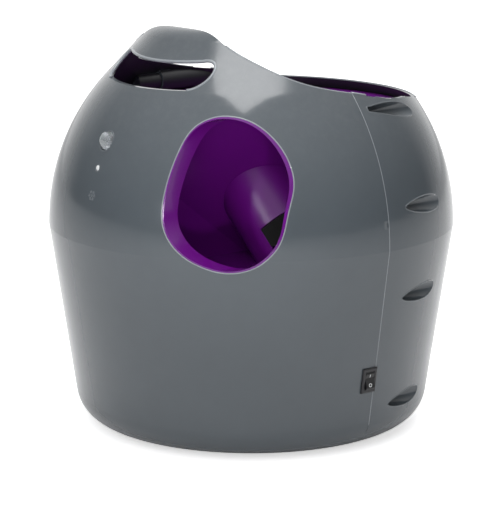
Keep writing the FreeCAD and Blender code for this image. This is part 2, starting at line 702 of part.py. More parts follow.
def inner_plate():
    """Stamped plate that carries the motor, the gear axles and one end of every shaft."""
    points = [(-50, 9.3), (72, 9.3), (78, 40), (78, 62), (64, 78), (36, 108), (20, 122), (-20, 122),
              (-56, 125), (-70, 129), (-86, 129), (-92, 120), (-88, 84), (-66, 52), (-50, 34)]
    plate = x_prism(points, PLATE_IN, PLATE_IN + PLATE_T)
    foot = box(50, PLATE_IN + 1, -50, 56, FOOT_H + 6.3, FOOT_H + 9.0)
    holes = [x_rod(place, 70, 85, radius) for place, radius in frame_holes()]
    holes.append(x_rod(MOTOR_AXIS, 70, 85, 5.0))
    holes += [x_rod(s, 70, 85, 2.1) for s in SPACERS]
    holes += [x_rod(a, 70, 85, GEAR_AXLE_R - 0.01) for a in (DRIVE_AXIS, SECOND_AXIS)]
    holes += [x_rod(polar(MOTOR_AXIS, 9.5, t), 70, 85, 1.6) for t in (0.0, math.pi)]
    slot = box(70, 85, rack_y() - 5, rack_y() + 5, 98, 138)
    windows = [x_prism(((52, 20), (66, 20), (66, 28), (44, 28)), 70, 85)]
    feet_holes = [rod(V(58, y, FOOT_H), Z_AXIS, 2.1, 12) for y in (-40, 46)]
    return plate.fuse(foot).cut(holes + [slot] + windows + feet_holes).removeSplitter()


def outer_plate():
    points = [(-52, 56), (-26, 32), (-14, 32), (-4, 44), (20, 88), (32, 92), (32, 104), (20, 108),
              (-20, 106), (-54, 116), (-70, 128), (-84, 128), (-90, 119), (-87, 100), (-87, 86), (-66, 62)]
    plate = x_prism(points, PLATE_OUT, PLATE_OUT + PLATE_T)
    holes = [x_rod(place, 120, 140, radius) for place, radius in frame_holes()]
    holes += [x_rod(s, 120, 140, 2.1) for s in SPACERS]
    window = x_prism(((-30, 58), (-14, 62), (4, 88), (-20, 92)), 120, 140)
    return plate.cut(holes + [window])


def spacers():
    return [x_sleeve(s, PLATE_IN + PLATE_T, PLATE_OUT, 5.0, 1.6) for s in SPACERS]


def frame_screws():
    """Pan-head screws through the plates into the spacers."""
    shapes = []
    for s in SPACERS:
        for x, way in ((PLATE_IN, 1), (PLATE_OUT + PLATE_T, -1)):
            head = rod(V(x, s[0], s[1]), X_AXIS * -way, 3.6, 2.2)
            shank = rod(V(x, s[0], s[1]), X_AXIS * way, 1.6, 14)
            shapes.append(head.fuse(shank).removeSplitter())
    return shapes


def bushes():
    """Flanged bushes of the hammer axle and of the cradle's stub shafts."""
    shapes = []
    for place, radius in frame_holes():
        bore = HAMMER_AXLE_R + 0.05 if place == HAMMER_AXIS else CRADLE_STUB_R + 0.05
        for x, flange in ((PLATE_IN, PLATE_IN - 1.5), (PLATE_OUT, PLATE_OUT + PLATE_T)):
            barrel = x_rod(place, x, x + PLATE_T, radius)
            collar = x_rod(place, flange, flange + 1.5, radius + 2.0)
            shapes.append(barrel.fuse(collar).cut(x_rod(place, x - 10, x + 10, bore)).removeSplitter())
    return shapes


def hammer_axle():
    """Steel axle with a groove for its retaining ring."""
    end = PLATE_OUT + PLATE_T + 5.0
    axle = x_rod(HAMMER_AXIS, 48.0, end, HAMMER_AXLE_R)
    return axle.cut(x_sleeve(HAMMER_AXIS, end - 1.8, end - 0.8, HAMMER_AXLE_R + 1, HAMMER_AXLE_R - 0.7))


def hammer_arm():
    """Ribbed arm on the axle; its head carries the rubber pad, and its horns take the springs."""
    seat = polar(HAMMER_AXIS, HAMMER_REACH - 12, HAMMER_ANGLE)
    side = (-math.sin(HAMMER_ANGLE), math.cos(HAMMER_ANGLE))
    web = [
        (end[0] + side[0] * width, end[1] + side[1] * width)
        for end, width in ((HAMMER_AXIS, -9), (HAMMER_AXIS, 9), (seat, 6), (seat, -6))
    ]
    blade = x_prism(web, LANE_X - 2.5, LANE_X + 2.5)
    hub = x_rod(HAMMER_AXIS, LANE_X - 8, LANE_X + 8, 11.0)
    head = x_rod(seat, LANE_X - 7, LANE_X + 7, 8.0)
    horn = x_rod(polar(HAMMER_AXIS, HORN_REACH, HAMMER_ANGLE), LANE_X - 16, LANE_X + 16, 2.2)
    bosses = x_rod(polar(HAMMER_AXIS, HORN_REACH, HAMMER_ANGLE), LANE_X - 6, LANE_X + 6, 5.5)
    bore = x_rod(HAMMER_AXIS, 80, 130, HAMMER_AXLE_R)
    return blade.fuse([hub, head, horn, bosses]).cut(bore).removeSplitter()


def hammer_pad():
    """Rubber striking cap over the arm's head."""
    seat = polar(HAMMER_AXIS, HAMMER_REACH - 12, HAMMER_ANGLE)
    cap = x_rod(seat, LANE_X - 7, LANE_X + 7, 12.0).cut(x_rod(seat, LANE_X - 8, LANE_X + 8, 8.05))
    keep = x_prism([polar(seat, 30, HAMMER_ANGLE + a) for a in (-1.4, -0.4, 0.6, 1.6, 2.4)] + [seat],
                   LANE_X - 10, LANE_X + 10)
    return biggest(cap.common(keep).cut(hammer_arm()))


def launch_springs():
    """Pair of extension springs between the hammer's horns and the front spacer."""
    anchor = SPACERS[0]
    horn = polar(HAMMER_AXIS, HORN_REACH, HAMMER_ANGLE)
    shapes = []
    for x in (LANE_X - 13.5, LANE_X + 13.5):
        a, b = V(x, anchor[0], anchor[1]), V(x, horn[0], horn[1])
        along = (b - a).normalize()
        length = (b - a).Length
        start, pitch = 9.0, (length - 16.0) / SPRING_TURNS
        profile = [V(0, 0, start)]
        for k in range(SPRING_TURNS):
            profile += [V(SPRING_R, 0, start + pitch * (k + share)) for share in (0.25, 0.75)]
            profile.append(V(SPRING_R - 0.7, 0, start + pitch * (k + 1)))
        profile.append(V(0, 0, start + pitch * SPRING_TURNS))
        coil = face(profile).revolve(V(0, 0, 0), Z_AXIS, 360)
        coil = coil.fuse([rod(V(0, 0, 5.4), Z_AXIS, 0.8, 4), rod(V(0, 0, length - 7.5), Z_AXIS, 0.8, 4)])
        coil.Placement = FreeCAD.Placement(a, FreeCAD.Rotation(Z_AXIS, along))
        shapes.append(coil.removeSplitter())
    return shapes


def turned(point, centre, angle):
    y, z = point[0] - centre[0], point[1] - centre[1]
    c, s = math.cos(angle), math.sin(angle)
    return (centre[0] + y * c - z * s, centre[1] + y * s + z * c)


def rack_y():
    return CRADLE_AXIS[0] + CRADLE_ARM


def rack_pin_z():
    return CRADLE_AXIS[1] + CRADLE_ARM * math.tan(CRADLE_HALF_SWING)


def cradle():
    """Trough for the ball between two cheeks that hang on stub shafts; slotted for the hammer."""
    along = V(0, -math.cos(LAUNCH_ANGLE), math.sin(LAUNCH_ANGLE))
    ball = V(LANE_X, BALL_CENTRE[0], BALL_CENTRE[1])
    start = ball - along * 16.0
    trough = sleeve(start, along, BALL_R + 4.0, BALL_R + 1.2, 62.0)
    below = box(LANE_X - CRADLE_HALF, LANE_X + CRADLE_HALF, -60, 60, -60, -13)
    below.rotate(V(LANE_X, 0, 0), X_AXIS, -math.degrees(LAUNCH_ANGLE))
    below.translate(V(0, ball.y, ball.z))
    trough = biggest(trough.common(below))
    cheeks = []
    pin = (rack_y(), rack_pin_z())
    left, right = LANE_X - CRADLE_HALF, LANE_X + CRADLE_HALF
    nose = [(-41, 118), (-70, 131), (-80, 127), (-86, 121), (-85, 112), (-75, 110.5), (-71, 115)]
    nose += [(-67.5, 119), (-55, 119), (-50, 115.4), (-33, 115.4)]
    arm = [(pin[0] + 8, pin[1] - 9), (pin[0] + 9, pin[1] + 8), (-14, 134), (-24, 122.5)]
    sides = ((left, left + CHEEK_T, PLATE_IN - 1.0, nose + arm),
             (right - CHEEK_T, right, PLATE_OUT + 4.5, nose))
    for lo, hi, stub, outline in sides:
        cheeks.append(x_prism(outline, lo, hi))
        edge = lo if stub < lo else hi
        cheeks.append(x_rod(CRADLE_AXIS, min(edge, stub), max(edge, stub), CRADLE_STUB_R))
    corners = [(pin[0] + dy, pin[1] + dz) for dy, dz in ((-4.2, -2.8), (4.2, -2.8), (4.2, 2.8), (-4.2, 2.8))]
    slot = [turned(corner, pin, CRADLE_HALF_SWING) for corner in corners]
    tail = x_prism(slot, left - 2, left + CHEEK_T + 1)
    hammer_way = x_prism(((-62, 100), (10, 100), (10, 160), (-46, 160)), LANE_X - 8.5, LANE_X + 8.5)
    spout = tube_rod(TUBE_R + 1.5, 2.0)
    return biggest(trough.fuse(cheeks).cut([tail, hammer_way, spout]))


def stop_block():
    """Rubber buffer that catches the hammer at the end of its stroke."""
    y, z = polar(HAMMER_AXIS, 22, HAMMER_ANGLE)
    away = (math.cos(HAMMER_ANGLE + math.pi / 2), math.sin(HAMMER_ANGLE + math.pi / 2))
    return (y + away[0] * 14.6, z + away[1] * 14.6)


def hammer_stop():
    place = stop_block()
    return x_rod(place, PLATE_IN + PLATE_T, PLATE_OUT, 2.5)


def hammer_buffer():
    return x_sleeve(stop_block(), LANE_X - 8, LANE_X + 8, 5.6, 2.5)


def angle_rack():
    """Toothed slide behind the inner plate; its pin sits in the cradle's slot."""
    x = ANGLE_DIAL_X + RACK_PITCH_R
    y0, y1 = rack_y() - 3.5, rack_y() + 3.5
    pitch = math.pi * RACK_PITCH_R * 2 / 16
    teeth = []
    for k in range(-2, 11):
        z = DIAL_Z + pitch * (k + 0.5)
        flank = [(1.4, 0.36), (0, 0.21), (-0.95, 0.1)]
        points = [(x + u, z - share * pitch) for u, share in flank]
        points += [(x + u, z + share * pitch) for u, share in reversed(flank)]
        teeth.append(face([V(px, y0, pz) for px, pz in points]).extrude(V(0, y1 - y0, 0)))
    body = box(x + 1.2, PLATE_IN - 1.8, y0, y1, DIAL_Z - 8, rack_pin_z() + 8)
    pin = x_rod((rack_y(), rack_pin_z()), PLATE_IN - 3, LANE_X - CRADLE_HALF + CHEEK_T, 2.5)
    return join([body, pin] + teeth)


def rack_guide():
    """Channel on the inner plate in which the rack slides."""
    x1 = PLATE_IN
    y = rack_y()
    return [box(x1 - 6.8, x1, y + s * 5.3 - 1.5, y + s * 5.3 + 1.5, 92, 138) for s in (-1, 1)]


def dial_shaft(x, length):
    return rod(V(x, DISH_FLOOR_Y + 6, DIAL_Z), V(0, -1, 0), SHAFT_R, length)


def dial(x):
    """Round knob with a finger bar, scalloped rim and a pointer notch."""
    y0, y1 = DISH_FLOOR_Y + 0.6, DISH_FLOOR_Y + 15.0
    body = rod(V(x, y0, DIAL_Z), Y_AXIS, DIAL_R, 5.0)
    rim = [polar((x, DIAL_Z), DIAL_R + 1.2, 2 * math.pi * k / 18) for k in range(18)]
    scallops = [rod(V(px, y0 - 1, pz), Y_AXIS, 2.2, 8) for px, pz in rim]
    bar = box(x - 4.2, x + 4.2, y0 + 4, y1, DIAL_Z - DIAL_R + 1.5, DIAL_Z + DIAL_R - 1.5)
    core = rod(V(x, y0 + 4, DIAL_Z), Y_AXIS, DIAL_R - 1.5, 12)
    bar = bar.common(core)
    notch = box(x - 0.7, x + 0.7, y1 - 1.0, y1 + 1, DIAL_Z + 4, DIAL_Z + DIAL_R)
    bore = rod(V(x, y0 - 1, DIAL_Z), Y_AXIS, SHAFT_R, DISH_FLOOR_Y + 6 - y0 + 1)
    return body.fuse(bar).cut(scallops + [notch, bore]).removeSplitter()


def shaft_pinion():
    points = [(ANGLE_DIAL_X + u, DIAL_Z + v) for u, v in gear_outline(1.0, 16)]
    y0 = rack_y() - 3.0
    pinion = face([V(x, y0, z) for x, z in points]).extrude(V(0, 6.0, 0))
    return pinion.fuse(rod(V(ANGLE_DIAL_X, y0 + 5.5, DIAL_Z), Y_AXIS, 5.0, 6)).cut(
        rod(V(ANGLE_DIAL_X, y0 - 1, DIAL_Z), Y_AXIS, SHAFT_R, 20))


def selector():
    """Rotary selector behind the distance dial: square body on its own small board."""
    x = DISTANCE_DIAL_X
    y = DISH_FLOOR_Y - WALL - 1.0
    body = box(x - 9, x + 9, y - 9, y, DIAL_Z - 9, DIAL_Z + 9)
    board = box(x - 14, x + 14, y - 10.6, y - 9, DIAL_Z - 12, DIAL_Z + 12)
    bore = rod(V(x, y - 7, DIAL_Z), Y_AXIS, SHAFT_R + 0.05, 20)
    return body.fuse(board).cut(bore).removeSplitter()


def main_board():
    """Control board on four posts over the battery bay."""
    board = box(-76, 4, -40, 30, 56.0, 57.6)
    corners = [V(x, y, BAY_TOP + 2) for x in (-72, 0) for y in (-36, 26)]
    posts = [rod(corner, Z_AXIS, 3.0, 56.0 - BAY_TOP - 2) for corner in corners]
    chip = box(-50, -38, -12, 0, 57.6, 59.4)
    relay = box(-66, -54, 8, 20, 57.6, 65.0)
    heat_sink = box(-20, -8, 10, 24, 57.6, 68.0)
    cans = [rod(V(-18 + 14 * k, -28, 57.6), Z_AXIS, 4.0, 12) for k in range(2)]
    return board.fuse(posts + [chip, relay, heat_sink] + cans).removeSplitter()


def dc_inlet():
    """Barrel socket for a 12 V adaptor, its mouth flush in the rear wall."""
    wall = housing_radius(INLET_Z)
    barrel = rod(V(0, wall - 16, INLET_Z), Y_AXIS, INLET_R - 0.2, 15.4)
    body = box(-4.6, 4.6, wall - 20, wall - 4.2, INLET_Z - 5, INLET_Z + 5)
    well = rod(V(0, wall - 10, INLET_Z), Y_AXIS, 2.85, 20)
    pin = rod(V(0, wall - 11, INLET_Z), Y_AXIS, 1.05, 9.0)
    return barrel.fuse(body).cut(well).fuse(pin).removeSplitter()


def shell_screws():
    """Cross-head screws at the bottom of the pockets."""
    shapes = []
    y0, y1 = POCKET_FLOOR_Y + 1.2, POCKET_FLOOR_Y + 4
    for p in pocket_places():
        head = rod(p + V(0, POCKET_FLOOR_Y, 0), Y_AXIS, 3.8, 2.6)
        head = head.cut(box(p.x - 0.5, p.x + 0.5, y0, y1, p.z - 2.2, p.z + 2.2))
        head = head.cut(box(p.x - 2.2, p.x + 2.2, y0, y1, p.z - 0.5, p.z + 0.5))
        shank = rod(p + V(0, POCKET_FLOOR_Y + 0.5, 0), V(0, -1, 0), 1.6, 24)
        shapes.append(head.fuse(shank).removeSplitter())
    return shapes


def gear_cover():
    """Plate that holds the free ends of the gear axles, on three posts from the inner plate."""
    points = [(-76, 42), (-62, 40), (-20, 26), (30, 14), (48, 20), (44, 40), (28, 66), (12, 96), (-4, 96),
              (-30, 84), (-50, 92), (-66, 82)]
    plate = x_prism(points, COVER_IN, COVER_IN + 2.5)
    posts = [x_rod(p, COVER_IN, PLATE_IN, 3.6) for p in COVER_POSTS]
    cups = [x_rod(a, COVER_IN, COVER_IN + 5.0, 5.5) for a in (DRIVE_AXIS, SECOND_AXIS)]
    holes = [x_rod(a, COVER_IN - 1, COVER_IN + 6, GEAR_AXLE_R) for a in (DRIVE_AXIS, SECOND_AXIS)]
    return plate.fuse(posts + cups).cut(holes).removeSplitter()


def gear_axles():
    start, end = COVER_IN + 1.0, PLATE_IN + PLATE_T
    return [x_rod(axis, start, end, GEAR_AXLE_R - 0.02) for axis in (DRIVE_AXIS, SECOND_AXIS)]


# ---- assembly ----------------------------------------------------------------


def build():
    os.makedirs("parts", exist_ok=True)
    rim = rim_cutter()
    solid = housing_solid(0.0).cut(rim)
    room = housing_solid(WALL)
    inside = housing_solid(WALL + 0.3).cut(rim)
    skin = solid.cut(room).cut(rod(V(0, 0, 0), Z_AXIS, R_FLOOR, FOOT_H + WALL + 1))
    can, shaft = motor()
    nodes = {
        "front_shell": front_shell(skin, solid),
        "rear_shell": rear_shell(skin, solid),
        "lane_liner": lane_liner(),
        "feed_tube": feed_tube(),
        "hopper": hopper(inside),
        "sensor_lens": sensor_lens(),
        "status_light": status_light(),
        "sensor_board": sensor_board(),
        "speaker": speaker(),
        "switch_bezel": switch_bezel(),
        "switch_rocker": rocker(),
        "base_plate": base_plate(),
        "battery_door": battery_door(),
        "battery_cells": Part.makeCompound(list(cells())),
        "battery_contacts": Part.makeCompound(contacts()),
        "feet": Part.makeCompound(feet()),
        "frame_inner_plate": inner_plate(),
        "frame_outer_plate": outer_plate(),
        "frame_spacers": Part.makeCompound(spacers()),
        "frame_screws": Part.makeCompound(frame_screws()),
        "frame_bushes": Part.makeCompound(bushes()),
        "gear_cover": gear_cover(),
        "gear_axles": Part.makeCompound(gear_axles()),
        "hammer_axle": hammer_axle(),
        "hammer_arm": hammer_arm(),
        "hammer_pad": hammer_pad(),
        "hammer_sector_gear": sector_gear(),
        "hammer_stop_bar": hammer_stop(),
        "hammer_buffer": hammer_buffer(),
        "launch_springs": Part.makeCompound(launch_springs()),
        "drive_gear": drive_gear(),
        "second_gear": second_gear(),
        "motor_pinion": motor_pinion(),
        "motor_shaft": shaft,
        "motor": can,
        "cradle": cradle(),
        "angle_rack": angle_rack(),
        "rack_guides": Part.makeCompound(rack_guide()),
        "angle_knob": dial(ANGLE_DIAL_X),
        "angle_shaft": dial_shaft(ANGLE_DIAL_X, DISH_FLOOR_Y + 6 - rack_y() + 3),
        "angle_pinion": shaft_pinion(),
        "distance_knob": dial(DISTANCE_DIAL_X),
        "distance_shaft": dial_shaft(DISTANCE_DIAL_X, 16.0),
        "distance_selector": selector(),
        "main_board": main_board(),
        "dc_inlet": dc_inlet(),
        "shell_screws": Part.makeCompound(shell_screws()),
    }
    for name, shape in nodes.items():
        save(name, shape)


build()
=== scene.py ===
# %% [markdown]
# # An automatic ball launcher for dogs, dressed over its CAD frame
# The construction comes ready made: every rigid piece is loaded as a mesh at its real place,
# in metres. This lesson gives each piece its finish, models the small things that a solid
# model leaves out, and sets a camera and soft lamps around the object.

import math

import bmesh
import bpy
from mathutils import Matrix, Vector
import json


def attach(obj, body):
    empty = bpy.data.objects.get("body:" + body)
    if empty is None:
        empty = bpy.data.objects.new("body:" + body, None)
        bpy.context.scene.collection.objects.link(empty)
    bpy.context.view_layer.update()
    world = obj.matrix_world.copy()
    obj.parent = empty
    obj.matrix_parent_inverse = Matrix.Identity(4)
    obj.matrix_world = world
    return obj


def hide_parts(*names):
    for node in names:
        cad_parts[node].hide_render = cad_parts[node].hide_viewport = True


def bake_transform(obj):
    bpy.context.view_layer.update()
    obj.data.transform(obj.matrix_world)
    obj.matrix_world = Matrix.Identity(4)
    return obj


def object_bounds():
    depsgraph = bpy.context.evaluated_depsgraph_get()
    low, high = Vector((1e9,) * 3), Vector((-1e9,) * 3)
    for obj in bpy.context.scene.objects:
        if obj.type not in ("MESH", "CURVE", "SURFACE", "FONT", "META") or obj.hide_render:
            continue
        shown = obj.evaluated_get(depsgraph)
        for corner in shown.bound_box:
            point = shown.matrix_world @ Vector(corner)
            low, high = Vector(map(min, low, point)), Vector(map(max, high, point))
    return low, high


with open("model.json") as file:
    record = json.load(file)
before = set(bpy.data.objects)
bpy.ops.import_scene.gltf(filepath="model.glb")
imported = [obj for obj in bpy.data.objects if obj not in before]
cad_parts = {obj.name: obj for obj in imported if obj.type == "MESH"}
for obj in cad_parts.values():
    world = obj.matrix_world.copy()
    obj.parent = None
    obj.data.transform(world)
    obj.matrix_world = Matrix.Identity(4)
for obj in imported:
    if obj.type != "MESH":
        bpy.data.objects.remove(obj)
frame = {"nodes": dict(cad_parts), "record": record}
nodes = frame["nodes"]
cad_low, cad_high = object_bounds()

# %% [markdown]
# ## The camera
# A long lens from about two metres away keeps the round body free of distortion. The camera
# stands to the right of the front, a little above the rim, so that both the launch opening and
# the seam between the two shells are in view. Its place is given as a bearing, a distance and a
# height, because those are what a photographer would measure on the studio floor.

# %% Camera
IMAGE_HEIGHT = 512
FOCAL_PIXELS = 2296.8
SENSOR = 36.0
BEARING = math.radians(50.0)
DISTANCE = 1.900
CAMERA_HEIGHT = 0.5523
TILT_DOWN = 0.2144
PAN_LEFT = 0.0045


def aim(bearing, tilt, pan):
    """Direction in which the camera looks, from its bearing around the object."""
    side = Vector((math.cos(bearing), math.sin(bearing), 0))
    inward = Vector((-math.sin(bearing), math.cos(bearing), 0))
    level = inward * math.cos(pan) - side * math.sin(pan)
    return level * math.cos(tilt) - Vector((0, 0, math.sin(tilt)))


camera = bpy.data.objects.new("camera", bpy.data.cameras.new("camera"))
bpy.context.scene.collection.objects.link(camera)
camera.data.sensor_width = SENSOR
camera.data.lens = FOCAL_PIXELS * SENSOR / IMAGE_HEIGHT
camera.location = (DISTANCE * math.sin(BEARING), -DISTANCE * math.cos(BEARING), CAMERA_HEIGHT)
look = aim(BEARING, TILT_DOWN, PAN_LEFT)
camera.rotation_euler = look.to_track_quat("-Z", "Y").to_euler()
bpy.context.scene.camera = camera
print("lens", round(camera.data.lens, 1), "mm")

# %% [markdown]
# ## Helpers for materials
# A material is a small graph of nodes. These helpers place a node, join two sockets and set
# plain values, so that each finish below reads as a list of what it is made of. The shader
# itself stays in the material; shared effects are node groups with named sockets.

# %% Node helpers


def new_group(name, inputs, outputs):
    """Empty shader group with named sockets: (name, kind, default) in, (name, kind) out."""
    group = bpy.data.node_groups.new(name, "ShaderNodeTree")
    for label, kind, value in inputs:
        socket = group.interface.new_socket(label, in_out="INPUT", socket_type="NodeSocket" + kind)
        socket.default_value = value
    for label, kind in outputs:
        group.interface.new_socket(label, in_out="OUTPUT", socket_type="NodeSocket" + kind)
    return group, group.nodes.new("NodeGroupInput"), group.nodes.new("NodeGroupOutput")


def put(tree, kind, **values):
    """Adds a node and sets its properties and unlinked inputs."""
    node = tree.nodes.new("ShaderNode" + kind)
    for key, value in values.items():
        if hasattr(node, key):
            setattr(node, key, value)
        else:
            node.inputs[key.replace("_", " ")].default_value = value
    return node


def ramp(tree, source, stops):
    """Grey ramp from (place, value) stops, fed by a socket."""
    node = tree.nodes.new("ShaderNodeValToRGB")
    elements = node.color_ramp.elements
    while len(elements) < len(stops):
        elements.new(0.5)
    for element, (place, value) in zip(elements, stops):
        element.position = place
        element.color = (value, value, value, 1)
    tree.links.new(source, node.inputs[0])
    return node.outputs[0]


def maths(tree, operation, a, b=None):
    """One sum on sockets or numbers."""
    node = tree.nodes.new("ShaderNodeMath")
    node.operation = operation
    for slot_index, value in enumerate((a, b)):
        if value is None:
            continue
        if hasattr(value, "is_output"):
            tree.links.new(value, node.inputs[slot_index])
        else:
            node.inputs[slot_index].default_value = value
    return node.outputs[0]


def tint(tree, factor, low, high):
    """Colour that runs from low to high with a factor."""
    node = tree.nodes.new("ShaderNodeMix")
    node.data_type = "RGBA"
    for socket, value in ((node.inputs[0], factor), (node.inputs[6], low), (node.inputs[7], high)):
        if hasattr(value, "is_output"):
            tree.links.new(value, socket)
        elif socket is node.inputs[0]:
            socket.default_value = value
        else:
            socket.default_value = (*value, 1)
    return node.outputs[2]


def srgb(red, green, blue):
    """Linear colour from the 0 to 255 values that a colour chart gives."""
    def linear(c):
        c = c / 255
        return c / 12.92 if c <= 0.04045 else ((c + 0.055) / 1.055) ** 2.4
    return (linear(red), linear(green), linear(blue))


def shade(colour, factor):
    """The same colour, darker with a factor below 1 and lighter with one above."""
    return tuple(min(1.0, c * factor) for c in colour)


print("linear value of mid grey", round(srgb(128, 128, 128)[0], 3))

# %% [markdown]
# ## Shared effects
# Moulded plastic is never perfectly even. Four effects cover almost every part of a household
# machine. *Moulding* gives long, faint waves in the surface and small changes of gloss.
# *Hairlines* are the fine scratches of handling. *Dust* settles where the surface faces up.
# *Grain* is the pitted finish of an unpolished tool. Each is a group that puts out masks,
# heights or tones, so that the same effect can be strong on one part and faint on another.

# %% Moulding effect
WAVE_SHARE = 0.12


def make_moulding():
    """Long waves for the bump, and fine changes of tone and gloss."""
    group, inlet, outlet = new_group(
        "moulding",
        (("Scale", "Float", 60.0), ("Gloss Change", "Float", 0.05), ("Gloss", "Float", 0.15)),
        (("Roughness", "Float"), ("Height", "Float"), ("Tone", "Float")),
    )
    place = put(group, "TexCoord")
    wave = put(group, "TexNoise", Detail=2.0)
    fine = put(group, "TexNoise", Detail=4.0, Roughness=0.6)
    group.links.new(place.outputs["Object"], wave.inputs["Vector"])
    group.links.new(place.outputs["Object"], fine.inputs["Vector"])
    group.links.new(maths(group, "MULTIPLY", inlet.outputs["Scale"], WAVE_SHARE), wave.inputs["Scale"])
    group.links.new(inlet.outputs["Scale"], fine.inputs["Scale"])
    shift = maths(group, "SUBTRACT", fine.outputs[0], 0.5)
    change = maths(group, "MULTIPLY", shift, inlet.outputs["Gloss Change"])
    group.links.new(maths(group, "ADD", inlet.outputs["Gloss"], change), outlet.inputs["Roughness"])
    group.links.new(wave.outputs[0], outlet.inputs["Height"])
    group.links.new(fine.outputs[0], outlet.inputs["Tone"])
    return group


GROUPS = {"moulding": make_moulding()}
print("effect groups", list(GROUPS))

# %% [markdown]
# A hairline is a noise that is stretched so far along one direction that only its crests are
# left as thin lines. Three passes, each turned another way, cross like real scratches do.

# %% Hairline effect
HAIRLINE_PASSES = ((0.4, 30.0), (1.7, 22.0), (2.6, 38.0))
HAIRLINE_CREST = ((0.66, 0.0), (0.70, 1.0))


def make_hairlines():
    """Mask of thin scratches; each pass has a turn in radians and a stretch."""
    group, inlet, outlet = new_group(
        "hairlines",
        (("Scale", "Float", 40.0), ("Amount", "Float", 0.3)),
        (("Mask", "Float"),),
    )
    place = put(group, "TexCoord")
    total = None
    for turn, stretch in HAIRLINE_PASSES:
        mapping = put(group, "Mapping")
        mapping.inputs["Rotation"].default_value = (turn, turn * 0.7, turn * 1.9)
        mapping.inputs["Scale"].default_value = (1.0, stretch, stretch)
        group.links.new(place.outputs["Object"], mapping.inputs["Vector"])
        noise = put(group, "TexNoise", Detail=2.0)
        group.links.new(mapping.outputs[0], noise.inputs["Vector"])
        group.links.new(inlet.outputs["Scale"], noise.inputs["Scale"])
        line = ramp(group, noise.outputs[0], HAIRLINE_CREST)
        total = line if total is None else maths(group, "MAXIMUM", total, line)
    group.links.new(maths(group, "MULTIPLY", total, inlet.outputs["Amount"]), outlet.inputs["Mask"])
    return group


GROUPS["hairlines"] = make_hairlines()
print("effect groups", list(GROUPS))

# %% [markdown]
# Dust needs no place to be painted: the surface's own normal says where it faces up, and a
# cloudy noise breaks the layer into patches.

# %% Dust effect
FACING_UP = ((0.25, 0.0), (0.95, 1.0))
DUST_PATCH = ((0.45, 0.0), (0.75, 1.0))


def make_dust():
    """Mask of the dust that lies on the faces that look up."""
    group, inlet, outlet = new_group(
        "dust",
        (("Scale", "Float", 90.0), ("Amount", "Float", 0.2)),
        (("Mask", "Float"),),
    )
    normal = put(group, "NewGeometry")
    split = put(group, "SeparateXYZ")
    group.links.new(normal.outputs["Normal"], split.inputs[0])
    upward = ramp(group, split.outputs["Z"], FACING_UP)
    place = put(group, "TexCoord")
    speck = put(group, "TexNoise", Detail=8.0, Roughness=0.75)
    group.links.new(place.outputs["Object"], speck.inputs["Vector"])
    group.links.new(inlet.outputs["Scale"], speck.inputs["Scale"])
    patch = ramp(group, speck.outputs[0], DUST_PATCH)
    both = maths(group, "MULTIPLY", upward, patch)
    group.links.new(maths(group, "MULTIPLY", both, inlet.outputs["Amount"]), outlet.inputs["Mask"])
    return group


GROUPS["dust"] = make_dust()
print("effect groups", list(GROUPS))

# %% [markdown]
# A spark-eroded tool leaves shallow round pits side by side. The distance to the nearest point
# of a Voronoi pattern has that form, so it serves as the height of the grain.

# %% Grain effect


def make_grain():
    """Pits for the bump, and a cloudy tone over many of them."""
    group, inlet, outlet = new_group(
        "grain",
        (("Scale", "Float", 900.0), ("Depth", "Float", 1.0)),
        (("Height", "Float"), ("Tone", "Float")),
    )
    place = put(group, "TexCoord")
    pits = put(group, "TexVoronoi", feature="F1")
    group.links.new(place.outputs["Object"], pits.inputs["Vector"])
    group.links.new(inlet.outputs["Scale"], pits.inputs["Scale"])
    cloud = put(group, "TexNoise", Detail=3.0, Scale=35.0)
    group.links.new(place.outputs["Object"], cloud.inputs["Vector"])
    height = maths(group, "MULTIPLY", pits.outputs["Distance"], inlet.outputs["Depth"])
    group.links.new(height, outlet.inputs["Height"])
    group.links.new(cloud.outputs[0], outlet.inputs["Tone"])
    return group


GROUPS["grain"] = make_grain()
print("effect groups", list(GROUPS))

# %% [markdown]
# Every material starts in the same way: with a new node tree and its shader. An effect is
# placed in it as one group node, and a height reaches the shader through a Bump node.

# %% Starting a material


def effect(tree, name, **values):
    """Places a shared effect in a material with its own values."""
    node = tree.nodes.new("ShaderNodeGroup")
    node.node_tree = GROUPS[name]
    for key, value in values.items():
        node.inputs[key.replace("_", " ")].default_value = value
    return node


def bump(tree, shader, height, distance, strength=1.0):
    """Feeds a height to the shader's normal; the distance is in metres."""
    node = put(tree, "Bump", Strength=strength, Distance=distance)
    tree.links.new(height, node.inputs["Height"])
    tree.links.new(node.outputs[0], shader.inputs["Normal"])


def new_material(name):
    """Material with its node tree and its shader."""
    material = bpy.data.materials.new(name)
    material.use_nodes = True
    return material, material.node_tree, material.node_tree.nodes["Principled BSDF"]


print("effects ready to place", len(GROUPS))

# %% [markdown]
# ## Gloss plastic for the housing and the purple parts
# Both colours are injection-moulded ABS with a polished surface. A clear mirror image over a
# solid colour is what makes them read as gloss plastic. The gloss could be a clear coat, but on
# one solid plastic a single smooth surface is truer, so the shader stays low in roughness, with
# a weak coat for the sharpest glints. The moulding effect lets colour and gloss drift a little.

# %% Gloss plastic
GLOSS_DRIFT = 0.05
DUST_COLOUR = (0.55, 0.54, 0.52)
SCRATCH_DULLING = 0.10
DUST_DULLING = 0.5
COAT_ROUGHNESS = 0.04
WAVE_DEPTH = 0.0004
WAVE_STRENGTH = 0.3


